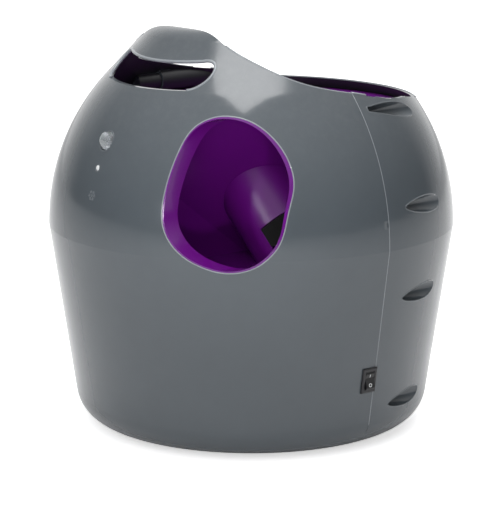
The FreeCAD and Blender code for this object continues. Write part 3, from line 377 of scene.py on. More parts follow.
def gloss_plastic(name, colour, gloss, coat, dust_amount):
    """Polished moulding; returns the material and the sockets that a variant needs."""
    material, tree, shader = new_material(name)
    mould = effect(tree, "moulding", Scale=45.0, Gloss=gloss, Gloss_Change=0.05)
    lines = effect(tree, "hairlines", Scale=9.0, Amount=0.35)
    dust = effect(tree, "dust", Scale=140.0, Amount=dust_amount)
    deep, pale = shade(colour, 1 - GLOSS_DRIFT), shade(colour, 1 + GLOSS_DRIFT)
    body = tint(tree, mould.outputs["Tone"], deep, pale)
    body = tint(tree, dust.outputs["Mask"], body, DUST_COLOUR)
    scratched = maths(tree, "MULTIPLY", lines.outputs["Mask"], SCRATCH_DULLING)
    rough = maths(tree, "ADD", mould.outputs["Roughness"], scratched)
    rough = maths(tree, "ADD", rough, maths(tree, "MULTIPLY", dust.outputs["Mask"], DUST_DULLING))
    tree.links.new(body, shader.inputs["Base Color"])
    tree.links.new(rough, shader.inputs["Roughness"])
    shader.inputs["Coat Weight"].default_value = coat
    shader.inputs["Coat Roughness"].default_value = COAT_ROUGHNESS
    bump(tree, shader, mould.outputs["Height"], WAVE_DEPTH, WAVE_STRENGTH)
    return material, body, rough


print("waves", WAVE_DEPTH * 1000, "mm deep")

# %% [markdown]
# ## Telling the inside of a wall from its outside
# Only the outer face of the housing is polished, and no light reaches far into the feed tube; both
# insides get painted shade.
# Both are thin walls round an axis, and one effect serves them. It takes the axis as a middle
# point and a direction, and finds the direction from the axis to the surface. Where the surface
# points away from the axis it is the outer face, and where it points back it is the inner one.
# The dot product of the two directions gives a mask, which swaps in a darker colour, painted shade,
# and a higher roughness.

# %% Inner face of a round wall
FACE_SHARPNESS = 12.0


def make_inner_face():
    """Mask of the faces that look towards an axis."""
    group, inlet, outlet = new_group(
        "inner face",
        (("Middle", "Vector", (0, 0, 0)), ("Axis", "Vector", (0, 0, 1)), ("Edge", "Float", 0.30)),
        (("Mask", "Float"),),
    )
    place = put(group, "TexCoord")
    offset = put(group, "VectorMath", operation="SUBTRACT")
    group.links.new(place.outputs["Object"], offset.inputs[0])
    group.links.new(inlet.outputs["Middle"], offset.inputs[1])
    along = put(group, "VectorMath", operation="PROJECT")
    group.links.new(offset.outputs[0], along.inputs[0])
    group.links.new(inlet.outputs["Axis"], along.inputs[1])
    radial = put(group, "VectorMath", operation="SUBTRACT")
    group.links.new(offset.outputs[0], radial.inputs[0])
    group.links.new(along.outputs[0], radial.inputs[1])
    unit = put(group, "VectorMath", operation="NORMALIZE")
    group.links.new(radial.outputs[0], unit.inputs[0])
    across = put(group, "VectorMath", operation="DOT_PRODUCT")
    group.links.new(unit.outputs[0], across.inputs[0])
    group.links.new(place.outputs["Normal"], across.inputs[1])
    inward = maths(group, "MULTIPLY", across.outputs["Value"], -1.0)
    over = maths(group, "SUBTRACT", inward, inlet.outputs["Edge"])
    sharp = maths(group, "MULTIPLY", over, FACE_SHARPNESS)
    sharp.node.use_clamp = True
    group.links.new(sharp, outlet.inputs["Mask"])
    return group


GROUPS["inner face"] = make_inner_face()
print("effect groups", list(GROUPS))

# %% [markdown]
# The inside of the housing is unpolished, and its darker grey is painted shade. The edges of a
# polished moulding catch more light than its walls, so their beads have paler greys, a painted
# highlight. The feed tube is the same purple as the hopper, and painted almost black inside as shade.

# %% Housing and purple parts
HOUSING_GREY = srgb(70, 76, 81)
# Painted shade: the housing's inner face is coloured dark for the shade inside the shell.
INSIDE_PAINTED_SHADE = srgb(30, 30, 34)
# Painted highlight: rim, slot and seam beads are a paler grey for the light their round edges catch.
EDGE_HIGHLIGHT_GREY = srgb(124, 129, 134)
# Painted highlight: the small lips are a little paler grey than the housing.
LIP_HIGHLIGHT_GREY = srgb(80, 86, 91)
PURPLE = srgb(86, 9, 106)
# Painted shade: the inside of the feed tube is coloured near black for the shade deep in it.
TUBE_PAINTED_SHADE = srgb(3, 2, 4)
TUBE_MIDDLE = (0.0701, -0.0195, 0.1788)
TUBE_AXIS = (0.6634, 0.0968, -0.7420)


def two_faced(name, colour, gloss, coat, dust_amount, inside, inside_rough, **axis):
    """Gloss plastic whose inner face, round an axis, is dull and painted darker as shade."""
    material, outer_colour, outer_rough = gloss_plastic(name, colour, gloss, coat, dust_amount)
    tree = material.node_tree
    shader = tree.nodes["Principled BSDF"]
    inner = effect(tree, "inner face", **axis)
    body = tint(tree, inner.outputs["Mask"], outer_colour, inside)
    tree.links.new(body, shader.inputs["Base Color"])
    dull = maths(tree, "MULTIPLY", inner.outputs["Mask"], inside_rough)
    tree.links.new(maths(tree, "MAXIMUM", outer_rough, dull), shader.inputs["Roughness"])
    return material


housing_gloss = two_faced("housing gloss grey", HOUSING_GREY, 0.13, 0.2, 0.04, INSIDE_PAINTED_SHADE, 0.42)
edge_highlight_gloss = gloss_plastic("housing rim highlight", EDGE_HIGHLIGHT_GREY, 0.10, 0.3, 0.0)[0]
lip_highlight_gloss = gloss_plastic("housing edge highlight", LIP_HIGHLIGHT_GREY, 0.10, 0.3, 0.0)[0]
purple_gloss = gloss_plastic("purple gloss", PURPLE, 0.20, 0.25, 0.02)[0]
tube_gloss = two_faced("feed tube purple", PURPLE, 0.34, 0.0, 0.0, TUBE_PAINTED_SHADE, 0.95,
                       Middle=TUBE_MIDDLE, Axis=TUBE_AXIS)
print("gloss plastics", housing_gloss.name, purple_gloss.name, tube_gloss.name)

# %% [markdown]
# ## Matt plastics, rubber and metals
# Inner mouldings are left with the fine spark-eroded grain of the tool. Metals differ mostly in
# roughness and tone: zinc plate has a faint cloudy bloom, and brass is warm. Clear plastic lets
# light through, and the sensor's dome is divided into many small lenses.

# %% Grained plastic and rubber
GRAIN_DRIFT = 0.12
GRAIN_DUST = (0.5, 0.49, 0.47)
GRAIN_ROUGH = 0.06


def grained_plastic(name, colour, rough, scale=1400.0, depth=0.00006):
    """Unpolished moulding with pits, a cloudy tone and a little dust."""
    material, tree, shader = new_material(name)
    grain = effect(tree, "grain", Scale=scale)
    dust = effect(tree, "dust", Scale=160.0, Amount=0.10)
    deep, pale = shade(colour, 1 - GRAIN_DRIFT), shade(colour, 1 + GRAIN_DRIFT)
    body = tint(tree, grain.outputs["Tone"], deep, pale)
    dusty = tint(tree, dust.outputs["Mask"], body, GRAIN_DUST)
    tree.links.new(dusty, shader.inputs["Base Color"])
    levels = ((0.0, rough - GRAIN_ROUGH), (1.0, rough + GRAIN_ROUGH))
    tree.links.new(ramp(tree, grain.outputs["Tone"], levels), shader.inputs["Roughness"])
    bump(tree, shader, grain.outputs["Height"], depth)
    return material


print("grained plastic drifts by", GRAIN_DRIFT, "in tone and", GRAIN_ROUGH, "in roughness")

# %% Metal
METAL_SCRATCH_DEPTH = 0.00003
METAL_SCRATCH_DULLING = 0.1


def metal(name, colour, rough, cloud=0.15):
    """Bare or plated metal with a cloudy bloom and fine scratches."""
    material, tree, shader = new_material(name)
    mould = effect(tree, "moulding", Scale=180.0, Gloss=rough, Gloss_Change=0.18)
    lines = effect(tree, "hairlines", Scale=30.0, Amount=0.5)
    body = tint(tree, mould.outputs["Tone"], shade(colour, 1 - cloud), colour)
    tree.links.new(body, shader.inputs["Base Color"])
    scratched = maths(tree, "MULTIPLY", lines.outputs["Mask"], METAL_SCRATCH_DULLING)
    dull = maths(tree, "ADD", mould.outputs["Roughness"], scratched)
    tree.links.new(dull, shader.inputs["Roughness"])
    shader.inputs["Metallic"].default_value = 1.0
    bump(tree, shader, lines.outputs["Mask"], METAL_SCRATCH_DEPTH)
    return material


print("metal scratches", METAL_SCRATCH_DEPTH * 1000, "mm deep")

# %% Clear plastic
CLEAR_DRIFT = 0.04
CLEAR_IOR = 1.49
LENS_DEPTH = 0.0006
LENS_STRENGTH = 0.6
LENS_UNEVENNESS = 0.15


def clear_plastic(name, colour, rough, through, facets=0.0):
    """Clear moulding; facets is the number of small lenses per metre, or none."""
    material, tree, shader = new_material(name)
    mould = effect(tree, "moulding", Scale=200.0, Gloss=rough, Gloss_Change=0.03)
    tree.links.new(mould.outputs["Roughness"], shader.inputs["Roughness"])
    body = tint(tree, mould.outputs["Tone"], shade(colour, 1 - CLEAR_DRIFT), colour)
    tree.links.new(body, shader.inputs["Base Color"])
    shader.inputs["Transmission Weight"].default_value = through
    shader.inputs["IOR"].default_value = CLEAR_IOR
    if facets:
        place = put(tree, "TexCoord")
        cells = put(tree, "TexVoronoi", feature="F1", Scale=facets, Randomness=LENS_UNEVENNESS)
        tree.links.new(place.outputs["Object"], cells.inputs["Vector"])
        bump(tree, shader, cells.outputs["Distance"], LENS_DEPTH, LENS_STRENGTH)
    return material


print("lens cells", LENS_DEPTH * 1000, "mm deep")

# %% [markdown]
# ## A finish for every piece
# The record names a material slot for every piece of the machine, so one table from slot to
# material dresses all of them. A piece that needs more than its slot's finish has its own line.

# %% Finishes
FINISHES = {
    "grey_shell": housing_gloss,
    "purple": purple_gloss,
    "clear_lens": clear_plastic("clear lens", (0.86, 0.9, 0.95), 0.05, 0.85, facets=230.0),
    "light_pipe": clear_plastic("light pipe", (0.9, 0.92, 0.93), 0.3, 0.4),
    "board_green": grained_plastic("board green", srgb(18, 92, 52), 0.4, 600.0),
    "black_plastic": grained_plastic("black moulding", srgb(30, 30, 33), 0.5),
    "rocker_black": grained_plastic("rocker black", srgb(18, 18, 20), 0.32, 2200.0, 0.00003),
    "base_grey": grained_plastic("base grey", srgb(92, 98, 104), 0.55),
    "cell_wrap": metal("cell wrap", srgb(196, 160, 70), 0.3),
    "contact_steel": metal("contact nickel", srgb(200, 196, 184), 0.28),
    "foot_rubber": grained_plastic("foot rubber", srgb(214, 216, 212), 0.6, 1800.0),
    "zinc_steel": metal("zinc plate", srgb(190, 194, 198), 0.32),
    "grey_frame": metal("zinc plated sheet", srgb(182, 186, 192), 0.38),
    "bronze": metal("sintered bronze", srgb(168, 122, 66), 0.42),
    "gear_white": grained_plastic("acetal", srgb(232, 230, 222), 0.38, 2200.0, 0.00003),
    "rubber_black": grained_plastic("black rubber", srgb(34, 34, 36), 0.7),
    "spring_steel": metal("spring wire", srgb(150, 152, 158), 0.3),
    "motor_can": metal("motor can", srgb(176, 178, 184), 0.3),
    "pinion_brass": metal("brass", srgb(206, 170, 92), 0.25),
    "knob_grey": grained_plastic("knob grey", srgb(46, 48, 52), 0.45, 1800.0),
}

NODE_FINISHES = {"feed_tube": tube_gloss}

for part in frame["record"]["subparts"]:
    piece = nodes[part["node"]]
    piece.data.materials.clear()
    piece.data.materials.append(NODE_FINISHES.get(part["node"], FINISHES[part["material_slot"]]))

# %% [markdown]
# ## Rounded edges on the shells
# A moulded edge is never sharp. Its small radius catches a line of light all round an opening,
# and that line is most of what the eye sees of the wall's thickness. The solids have plain
# edges, so a fine bead is laid along them: every sharp edge on the outer face of a shell is
# found in its mesh, the edges are strung into runs, and a small round section is swept along
# each run, sunk into the plastic so that only its shoulder stands out.

# %% Shape of the housing
FOOT_HEIGHT = 0.003
BASE_RADIUS = 0.1452
CREASE_RADIUS = 0.170
CREASE_HEIGHT = 0.1715
DOME_RADIUS = 0.1811
DOME_MIDDLE = (-0.0111, 0.1706)
BROW_HEIGHT = 0.295


def housing_radius(height):
    """Outer radius of the housing at a height, up to the brow."""
    if height <= CREASE_HEIGHT:
        rise = (height - FOOT_HEIGHT) / (CREASE_HEIGHT - FOOT_HEIGHT)
        return BASE_RADIUS + (CREASE_RADIUS - BASE_RADIUS) * rise
    if height <= BROW_HEIGHT:
        return DOME_MIDDLE[0] + math.sqrt(DOME_RADIUS**2 - (height - DOME_MIDDLE[1]) ** 2)
    slope = math.asin((BROW_HEIGHT - DOME_MIDDLE[1]) / DOME_RADIUS)
    return housing_radius(BROW_HEIGHT) - math.tan(slope) * (height - BROW_HEIGHT)


print("radius at the crease", housing_radius(CREASE_HEIGHT))

# %% Runs of sharp edges
SHARP_ANGLE = math.radians(48)
WELD_DISTANCE = 2e-6


def sharp_runs(piece, keep):
    """Ordered point lists along the sharp edges of a mesh whose two ends pass keep()."""
    mesh = bmesh.new()
    mesh.from_mesh(piece.data)
    bmesh.ops.remove_doubles(mesh, verts=mesh.verts, dist=WELD_DISTANCE)
    joined = {}
    for edge in mesh.edges:
        if len(edge.link_faces) != 2 or edge.calc_face_angle() < SHARP_ANGLE:
            continue
        ends = [vertex.co.copy().freeze() for vertex in edge.verts]
        if all(keep(point) for point in ends):
            joined.setdefault(ends[0], []).append(ends[1])
            joined.setdefault(ends[1], []).append(ends[0])
    mesh.free()
    runs = []
    while joined:
        start = next((p for p, others in joined.items() if len(others) != 2), next(iter(joined)))
        run = [start]
        while joined.get(run[-1]):
            following = joined[run[-1]].pop()
            joined[following].remove(run[-1])
            run.append(following)
        for point in run:
            if point in joined and not joined[point]:
                del joined[point]
        if len(run) > 2:
            runs.append(run)
    return runs


print("edges of the front shell", len(nodes["front_shell"].data.edges))

# %% Adding a piece


def link(name, mesh, material, body="housing", smooth=True):
    """Puts a finished mesh in the scene with a material; it rides on a body, if one is given."""
    mesh.polygons.foreach_set("use_smooth", [smooth] * len(mesh.polygons))
    mesh.materials.append(material)
    piece = bpy.data.objects.new(name, mesh)
    bpy.context.scene.collection.objects.link(piece)
    if body:
        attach(piece, body)
    return piece


# %% Sweep
CLOSED_GAP = 1e-6


def sweep_sections(run, radius, sides, closed):
    """Rings of points round a run, turned as little as possible from one to the next."""
    count = len(run)
    across = None
    rings = []
    for k in range(count):
        before = run[(k - 1) % count] if closed or k else run[0]
        after = run[(k + 1) % count] if closed or k < count - 1 else run[-1]
        along = (Vector(after) - Vector(before)).normalized()
        if across is None:
            across = along.orthogonal()
        across = (across - along * across.dot(along)).normalized()
        other = along.cross(across)
        angles = [2 * math.pi * n / sides for n in range(sides)]
        arms = [across * math.cos(a) + other * math.sin(a) for a in angles]
        rings.append([Vector(run[k]) + arm * radius for arm in arms])
    return rings


def swept(name, runs, radius, sides=8):
    """One mesh with a round section along each run, held inside the frame's box."""
    points, faces = [], []
    for run in runs:
        closed = (Vector(run[0]) - Vector(run[-1])).length < CLOSED_GAP
        path = run[:-1] if closed else run
        first = len(points)
        for ring in sweep_sections(path, radius, sides, closed):
            points.extend(ring)
        for k in range(len(path) if closed else len(path) - 1):
            a, b = first + k * sides, first + (k + 1) % len(path) * sides
            for n in range(sides):
                m = (n + 1) % sides
                faces.append((a + n, a + m, b + m, b + n))
        if not closed:
            faces.append(tuple(first + n for n in reversed(range(sides))))
            faces.append(tuple(first + (len(path) - 1) * sides + n for n in range(sides)))
    for point in points:
        for k in range(3):
            point[k] = min(max(point[k], cad_low[k]), cad_high[k])
    mesh = bpy.data.meshes.new(name)
    mesh.from_pydata(points, [], faces)
    mesh.update()
    return mesh


print("every sweep stays between", tuple(cad_low), "and", tuple(cad_high))

# %% [markdown]
# One list of runs holds several things: the rims of the big openings, the small lips of pockets
# and holes, the seam between the two shells, and the slot that is the handle. They are told
# apart by where they lie and how large they are, because each gets a bead of its own. A bead's
# sink is the share of its radius by which its middle lies under the surface.

# %% Kinds of edge
OUTER_FACE_REACH = 0.0005
RIM_TOP = 0.329
SEAM_REACH = 0.0006


def on_outer_face(point):
    """Whether a point lies on the outer face, below the very top of the hood."""
    off_face = abs(math.hypot(point.x, point.y) - housing_radius(point.z))
    return off_face < OUTER_FACE_REACH and point.z < RIM_TOP


def on_seam(a, b):
    """Whether the step from a to b runs along the seam."""
    return abs(a.y) < SEAM_REACH and abs(b.y) < SEAM_REACH


def stretches(run, test, wanted):
    """Parts of a run whose steps all pass a test, or all fail it."""
    if all(test(a, b) == wanted for a, b in zip(run, run[1:])):
        return [run]
    parts = [[]]
    for a, b in zip(run, run[1:]):
        if test(a, b) != wanted:
            parts.append([])
            continue
        parts[-1] = parts[-1] or [a]
        parts[-1].append(b)
    return [part for part in parts if len(part) > 1]


def spread(run):
    """Longest side of the upright box round a run."""
    return max(max(p[k] for p in run) - min(p[k] for p in run) for k in range(3))


def sunk(run, depth):
    """Moves a run towards the upright axis, into the plastic."""
    moved = []
    for point in run:
        out = Vector((point[0], point[1], 0)).normalized()
        moved.append(Vector(point) - out * depth)
    return moved


print("seam reach", SEAM_REACH * 1000, "mm")

# %% Edge beads
EDGE_BEAD, EDGE_SINK = 0.00065, 0.55
SEAM_BEAD, SEAM_SINK = 0.00028, 0.6
SLOT_BEAD, SLOT_SINK = 0.0014, 0.9
RIM_SPREAD = 0.060
SLOT_BAND = (0.288, 0.320)


def bead_mesh(name, runs, radius, sink, sides=8):
    """Beads of one radius along runs that are first sunk into the plastic."""
    return swept(name, [sunk(run, radius * sink) for run in runs], radius, sides)


for side in ("front_shell", "rear_shell"):
    runs = sharp_runs(nodes[side], on_outer_face)
    seams = [part for run in runs for part in stretches(run, on_seam, True)]
    lips = [part for run in runs for part in stretches(run, on_seam, False)]
    print(side, "lips", len(lips), "seams", len(seams), "longest", max(len(run) for run in runs))
    # The beads' paler greys are painted highlight, for the light that a rounded edge catches.
    rims = [run for run in lips if spread(run) > RIM_SPREAD]
    small = [run for run in lips if spread(run) <= RIM_SPREAD]
    rim_mesh = bead_mesh(side + "_rims", rims, EDGE_BEAD, EDGE_SINK)
    link(side + "_rims", rim_mesh, edge_highlight_gloss)
    lip_mesh = bead_mesh(side + "_lips", small, EDGE_BEAD, EDGE_SINK)
    slots = [run for run in lips if all(SLOT_BAND[0] < p.z < SLOT_BAND[1] for p in run)]
    if slots:
        roll = bead_mesh("slot_roll", slots, SLOT_BEAD, SLOT_SINK, sides=12)
        link("slot_roll", roll, edge_highlight_gloss)
    link(side + "_lips", lip_mesh, lip_highlight_gloss)
    if seams:
        seam_mesh = bead_mesh(side + "_seam", seams, SEAM_BEAD, SEAM_SINK, sides=6)
        link(side + "_seam", seam_mesh, edge_highlight_gloss)

# %% [markdown]
# ## Printed marks
# The switch has the usual pair of marks, and each dial runs through numbers printed round its
# rim on the housing. A mark is a line of Blender's own font turned into a thin mesh. It is
# placed by a matrix whose columns are the reading direction, the upward direction, the way it
# faces, and its place.

# %% Marks
PRINT_DEPTH = 0.00003
FACE_GAP = 0.00006
GLYPH_STEPS = 4
white_ink = grained_plastic("white ink", srgb(226, 228, 230), 0.45, 2600.0, 0.00001)


def glyphs(text, size):
    """Flat mesh of a short text, centred on its own origin."""
    curve = bpy.data.curves.new("glyphs", "FONT")
    curve.body = text
    curve.size = size
    curve.extrude = PRINT_DEPTH
    curve.resolution_u = GLYPH_STEPS
    curve.align_x = "CENTER"
    curve.align_y = "CENTER"
    carrier = bpy.data.objects.new("glyphs", curve)
    mesh = bpy.data.meshes.new_from_object(carrier)
    bpy.data.objects.remove(carrier)
    bpy.data.curves.remove(curve)
    return mesh


def facing(reading, upward, place):
    """Matrix that lays a text along a reading direction on a surface."""
    reading, upward = Vector(reading).normalized(), Vector(upward).normalized()
    out = reading.cross(upward)
    turn = Matrix((reading, upward, out)).transposed().to_4x4()
    return Matrix.Translation(Vector(place) + out * FACE_GAP) @ turn


def printed(name, marks, material, body):
    """One piece from several (text, size, matrix) marks."""
    whole = bmesh.new()
    for text, size, place in marks:
        mesh = glyphs(text, size)
        mesh.transform(place)
        whole.from_mesh(mesh)
        bpy.data.meshes.remove(mesh)
    mesh = bpy.data.meshes.new(name)
    whole.to_mesh(mesh)
    whole.free()
    return link(name, mesh, material, body, smooth=False)


print("ink", white_ink.name)

# %% [markdown]
# The rocker leans with the wall that it sits in, so its two marks are placed in the switch's own
# frame first: outward from the wall, across it, and up. Each half of the rocker has a slope of
# its own. For each half the table gives the mark, its place as (outward, up) and the direction
# up its slope in the same two measures.

# %% Switch marks
SWITCH_HEIGHT = 0.0635
SWITCH_LEAN = math.radians(8.37)
SWITCH_TURN = math.radians(-2.4)
SWITCH_MARK = 0.0042
ROCKER_FACES = (
    ("I", (0.00170, 0.00400), (0.184, 0.983)),
    ("O", (0.00330, -0.00345), (-0.338, 0.941)),
)

rocker_place = (
    Matrix.Rotation(SWITCH_TURN, 4, "Z")
    @ Matrix.Translation((housing_radius(SWITCH_HEIGHT), 0, SWITCH_HEIGHT))
    @ Matrix.Rotation(SWITCH_LEAN, 4, "Y")
)
switch_marks = []
for text, (out, up), (lean, rise) in ROCKER_FACES:
    local = facing((0, 1, 0), (lean, 0, rise), (out, 0, up))
    switch_marks.append((text, SWITCH_MARK, rocker_place @ local))
printed("switch_marks", switch_marks, white_ink, "rocker")
print("switch marks", len(switch_marks))

# %% [markdown]
# Seen from behind, both dials turn anticlockwise from their first setting, so their numbers run
# anticlockwise too. They are printed on the curved back of the housing, so each number is
# turned to the surface at its own place.

# %% Dial numbers
DIAL_HEIGHT = 0.100
NUMBER_RING = 0.0262
NUMBER_STEP = math.radians(30)
NUMBER_SIZE = 0.0052
NUMBER_GAP = 0.00012
SLOPE_STEP = 0.001
DIALS = (("angle_numbers", 0.060, 6), ("distance_numbers", -0.060, 9))


def on_back(across, height):
    """Point on the back of the housing, and the direction in which the surface faces there."""
    radius = housing_radius(height)
    place = Vector((across, math.sqrt(radius**2 - across**2), height))
    above, below = housing_radius(height + SLOPE_STEP), housing_radius(height - SLOPE_STEP)
    growth = (above - below) / (2 * SLOPE_STEP)
    return place, Vector((place.x / radius, place.y / radius, -growth)).normalized()


for name, across, count in DIALS:
    marks = []
    for k in range(count):
        turn = NUMBER_STEP * k
        sideways, up = NUMBER_RING * math.sin(turn), NUMBER_RING * math.cos(turn)
        place, out = on_back(across + sideways, DIAL_HEIGHT + up)
        reading = Vector((0, 0, 1)).cross(out)
        local = facing(reading, out.cross(reading), place + out * NUMBER_GAP)
        marks.append((str(k + 1), NUMBER_SIZE, local))
    printed(name, marks, white_ink, "housing")
print("dial numbers", [name for name, across, count in DIALS])

# %% [markdown]
# ## Launch springs
# The pair of springs that throws the hammer is drawn as real wire: a helix with a hook at each
# end. A spring's ends belong to two different bodies, the housing, which carries the frame, and
# the hammer; the wire is laid in at its place at rest and rides on neither. Each
# place is given as (Y, Z), and the two lanes are the places of the springs along X.

# %% Springs
SPRING_FRONT = (-0.0800, 0.0920)
SPRING_HORN = (-0.03595, 0.09788)
SPRING_LANES = (0.0937, 0.1207)
SPRING_RADIUS = 0.0026
WIRE_RADIUS = 0.00036
SPRING_COILS = 22
COIL_STEPS = 14
SPRING_LEAD = (0.0090, 0.0060)
FRONT_HOOK = 0.0054
HORN_HOOK = 0.0026
HOOK_DEGREES = range(-130, 131, 20)


def hook(centre, toward_coil, up, radius):
    """Open loop round a rod, from one side of the coil to the other."""
    turns = [math.radians(degrees) for degrees in HOOK_DEGREES]
    return [centre + (up * math.sin(t) - toward_coil * math.cos(t)) * radius for t in turns]


def spring_path(lane):
    """One line of points: hook on the frame, close coils, hook on the hammer's horn."""
    front, horn = Vector((lane, *SPRING_FRONT)), Vector((lane, *SPRING_HORN))
    along = (horn - front).normalized()
    side = Vector((1, 0, 0))
    up = along.cross(side)
    steps = SPRING_COILS * COIL_STEPS
    coils = []
    for k in range(steps + 1):
        turn = 2 * math.pi * k / COIL_STEPS
        reach = SPRING_LEAD[0] + ((horn - front).length - sum(SPRING_LEAD)) * k / steps
        arm = side * math.cos(turn) + up * math.sin(turn)
        coils.append(front + along * reach + arm * SPRING_RADIUS)
    return hook(front, along, up, FRONT_HOOK) + coils + hook(horn, -along, up, HORN_HOOK)


wires = [spring_path(lane) for lane in SPRING_LANES]
spring_mesh = swept("launch_spring_wire", wires, WIRE_RADIUS, sides=6)
spring_wire = link("launch_spring_wire", spring_mesh, FINISHES["spring_steel"], body=None)
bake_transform(spring_wire)
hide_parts("launch_springs")
print("spring points", len(spring_mesh.vertices))

# %% [markdown]
# ## The floor
# A product stands on a sheet of pale board that runs on into a white backdrop. The board is one
# large square here. To the camera it glows plain white, apart from where the object keeps light
# off it, so the picture has no horizon. Light Path tells a camera ray from the others, and the
# board stays an ordinary matt surface for the light that bounces from it onto the housing.

# %% Floor
FLOOR_REACH = 8.0
FLOOR_TONES = ((0.84, 0.84, 0.85), (0.88, 0.88, 0.88))
FLOOR_ROUGHNESS = 0.9
FLOOR_GLOW = 0.62


def stage_floor():
    """Pale board on the ground that reads as white, with the object's faint shadow."""
    mesh = bpy.data.meshes.new("studio_floor")
    corners = [(x * FLOOR_REACH, y * FLOOR_REACH, 0) for x, y in ((-1, -1), (1, -1), (1, 1), (-1, 1))]
    mesh.from_pydata(corners, [], [(0, 1, 2, 3)])
    board = bpy.data.objects.new("studio_floor", mesh)
    bpy.context.scene.collection.objects.link(board)
    material, tree, shader = new_material("studio board")
    paper = put(tree, "TexNoise", Scale=3.0, Detail=2.0)
    place = put(tree, "TexCoord")
    tree.links.new(place.outputs["Object"], paper.inputs["Vector"])
    tree.links.new(tint(tree, paper.outputs[0], *FLOOR_TONES), shader.inputs["Base Color"])
    shader.inputs["Roughness"].default_value = FLOOR_ROUGHNESS
    shader.inputs["Emission Color"].default_value = (1, 1, 1, 1)
    path = put(tree, "LightPath")
    glow = maths(tree, "MULTIPLY", path.outputs["Is Camera Ray"], FLOOR_GLOW)
    tree.links.new(glow, shader.inputs["Emission Strength"])
    mesh.materials.append(material)
    return board


floor = stage_floor()
print("floor", tuple(floor.dimensions))

# %% [markdown]
# ## The room
# Gloss plastic is mostly a mirror of the room, so the room is designed as a picture of its own.
# Behind the object hangs the white backdrop, which draws the pale edges on both sides of the
# body. In front there is only a room that is dim at eye level and gets lighter towards the
# ceiling, and below the horizon it is as pale as the board. A world shader can hold this as a
# mix of two brightnesses by direction. Each pair below is a place on a ramp and its brightness.
# The camera, and anything seen through clear plastic, always gets white.

# %% World
BACKDROP = (-0.766, 0.643, 0.0)
BACKDROP_FADE = ((0.50, 0.0), (0.90, 1.0))
ROOM_LEVELS = ((0.0, 0.9), (0.44, 0.9), (0.50, 0.10), (0.58, 0.12), (0.74, 0.42), (0.92, 0.95))


def studio_world():
    """White backdrop at the back, dim room in front, by the direction of the ray."""
    world = bpy.data.worlds.new("studio")
    bpy.context.scene.world = world
    world.use_nodes = True
    tree = world.node_tree
    way = put(tree, "TexCoord").outputs["Generated"]
    split = put(tree, "SeparateXYZ")
    tree.links.new(way, split.inputs[0])
    height = maths(tree, "MULTIPLY_ADD", split.outputs["Z"], 0.5)
    height.node.inputs[2].default_value = 0.5
    room = ramp(tree, height, ROOM_LEVELS)
    toward = put(tree, "VectorMath", operation="DOT_PRODUCT")
    tree.links.new(way, toward.inputs[0])
    toward.inputs[1].default_value = BACKDROP
    behind = ramp(tree, toward.outputs["Value"], BACKDROP_FADE)
    level = put(tree, "Mix", data_type="FLOAT")
    tree.links.new(behind, level.inputs[0])
    tree.links.new(room, level.inputs[2])
    level.inputs[3].default_value = 1.0
    light = tree.nodes["Background"]
    light.inputs["Color"].default_value = (1, 1, 1, 1)
    tree.links.new(level.outputs[0], light.inputs["Strength"])
    white = put(tree, "Background", Strength=1.0)
    white.inputs["Color"].default_value = (1, 1, 1, 1)
    path = put(tree, "LightPath")
    seen = maths(tree, "MAXIMUM", path.outputs["Is Camera Ray"], path.outputs["Is Transmission Ray"])
    choose = put(tree, "MixShader")
    tree.links.new(seen, choose.inputs[0])
    tree.links.new(light.outputs[0], choose.inputs[1])
    tree.links.new(white.outputs[0], choose.inputs[2])
    tree.links.new(choose.outputs[0], tree.nodes["World Output"].inputs[0])


studio_world()
print("world levels", len(ROOM_LEVELS))

# %% [markdown]
# ## The lamps
# One square soft box hangs right above the object, turned so that a corner points at the
# camera: on the round hood its mirror image becomes a bright wedge. A wide fill from the front
# lifts the colour without showing in the gloss, which is done by hiding the lamp from glossy
# rays. A second fill on the far side does the same for the back. Two narrow spots reach into
# the launch opening, where little of the soft light gets: the key draws the bright streak along
# the feed tube, and the fill shows the colour of the chamber.

# %% Kinds of lamp
LAMP_AIM = (0, 0, 0.17)
OPENING_MIDDLE = (0.100, -0.095, 0.215)
SPOT_DISTANCE = 1.3
SPOT_REACH = 0.055
SPOT_BLEND = 0.6
SPOT_SOFTNESS = 0.10


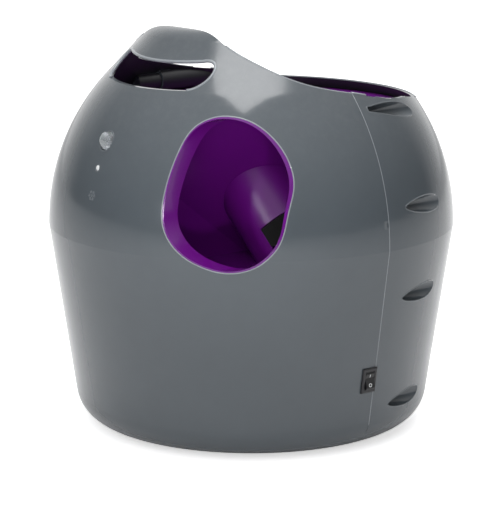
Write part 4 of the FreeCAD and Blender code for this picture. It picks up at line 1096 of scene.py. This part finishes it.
def panel(name, bearing, distance, height, wide, tall, watts, mirrored=True, turn=0.0):
    """Rectangular soft lamp at a bearing, turned to face the object's middle."""
    data = bpy.data.lights.new(name, "AREA")
    data.shape = "RECTANGLE"
    data.size = wide
    data.size_y = tall
    data.energy = watts
    lamp = bpy.data.objects.new(name, data)
    bpy.context.scene.collection.objects.link(lamp)
    angle = math.radians(bearing)
    lamp.location = (distance * math.sin(angle), -distance * math.cos(angle), height)
    way = (Vector(LAMP_AIM) - lamp.location).normalized()
    level = way.to_track_quat("-Z", "Y").to_matrix().to_4x4()
    spin = Matrix.Rotation(math.radians(turn), 4, way)
    lamp.rotation_euler = (spin @ level).to_euler()
    lamp.visible_glossy = mirrored
    return lamp


def narrow_spot(name, bearing, elevation, watts, mirrored):
    """Small lamp whose cone only just covers the launch opening."""
    data = bpy.data.lights.new(name, "SPOT")
    data.energy = watts
    data.spot_size = 2 * math.atan(SPOT_REACH / SPOT_DISTANCE)
    data.spot_blend = SPOT_BLEND
    data.shadow_soft_size = SPOT_SOFTNESS
    lamp = bpy.data.objects.new(name, data)
    bpy.context.scene.collection.objects.link(lamp)
    angle, rise = math.radians(bearing), math.radians(elevation)
    out = math.cos(rise)
    way = Vector((math.sin(angle) * out, -math.cos(angle) * out, math.sin(rise)))
    lamp.location = Vector(OPENING_MIDDLE) + way * SPOT_DISTANCE
    lamp.rotation_euler = way.to_track_quat("Z", "Y").to_euler()
    lamp.visible_glossy = mirrored
    return lamp


print("spots stand", SPOT_DISTANCE, "m from the opening")

# %% Lamps
BOX_PLACE = {"bearing": 35.0, "distance": 0.16, "height": 1.75}
FRONT_PLACE = {"bearing": 35.0, "distance": 1.9, "height": 1.2}
BACK_PLACE = {"bearing": 215.0, "distance": 1.9, "height": 1.2}

narrow_spot("opening key", bearing=3.0, elevation=10.0, watts=58.0, mirrored=True)
narrow_spot("opening fill", bearing=62.0, elevation=-4.0, watts=60.0, mirrored=False)
panel("overhead soft box", **BOX_PLACE, wide=0.86, tall=0.86, watts=13.5, turn=37.0)
panel("front fill", **FRONT_PLACE, wide=1.8, tall=1.4, watts=24.0, mirrored=False)
panel("back fill", **BACK_PLACE, wide=1.6, tall=1.2, watts=14.0, mirrored=False)
bpy.context.scene.view_settings.view_transform = "Standard"

# %% [markdown]
# ## The end
# Nothing added in this lesson may make the object bigger than its CAD frame.

import json
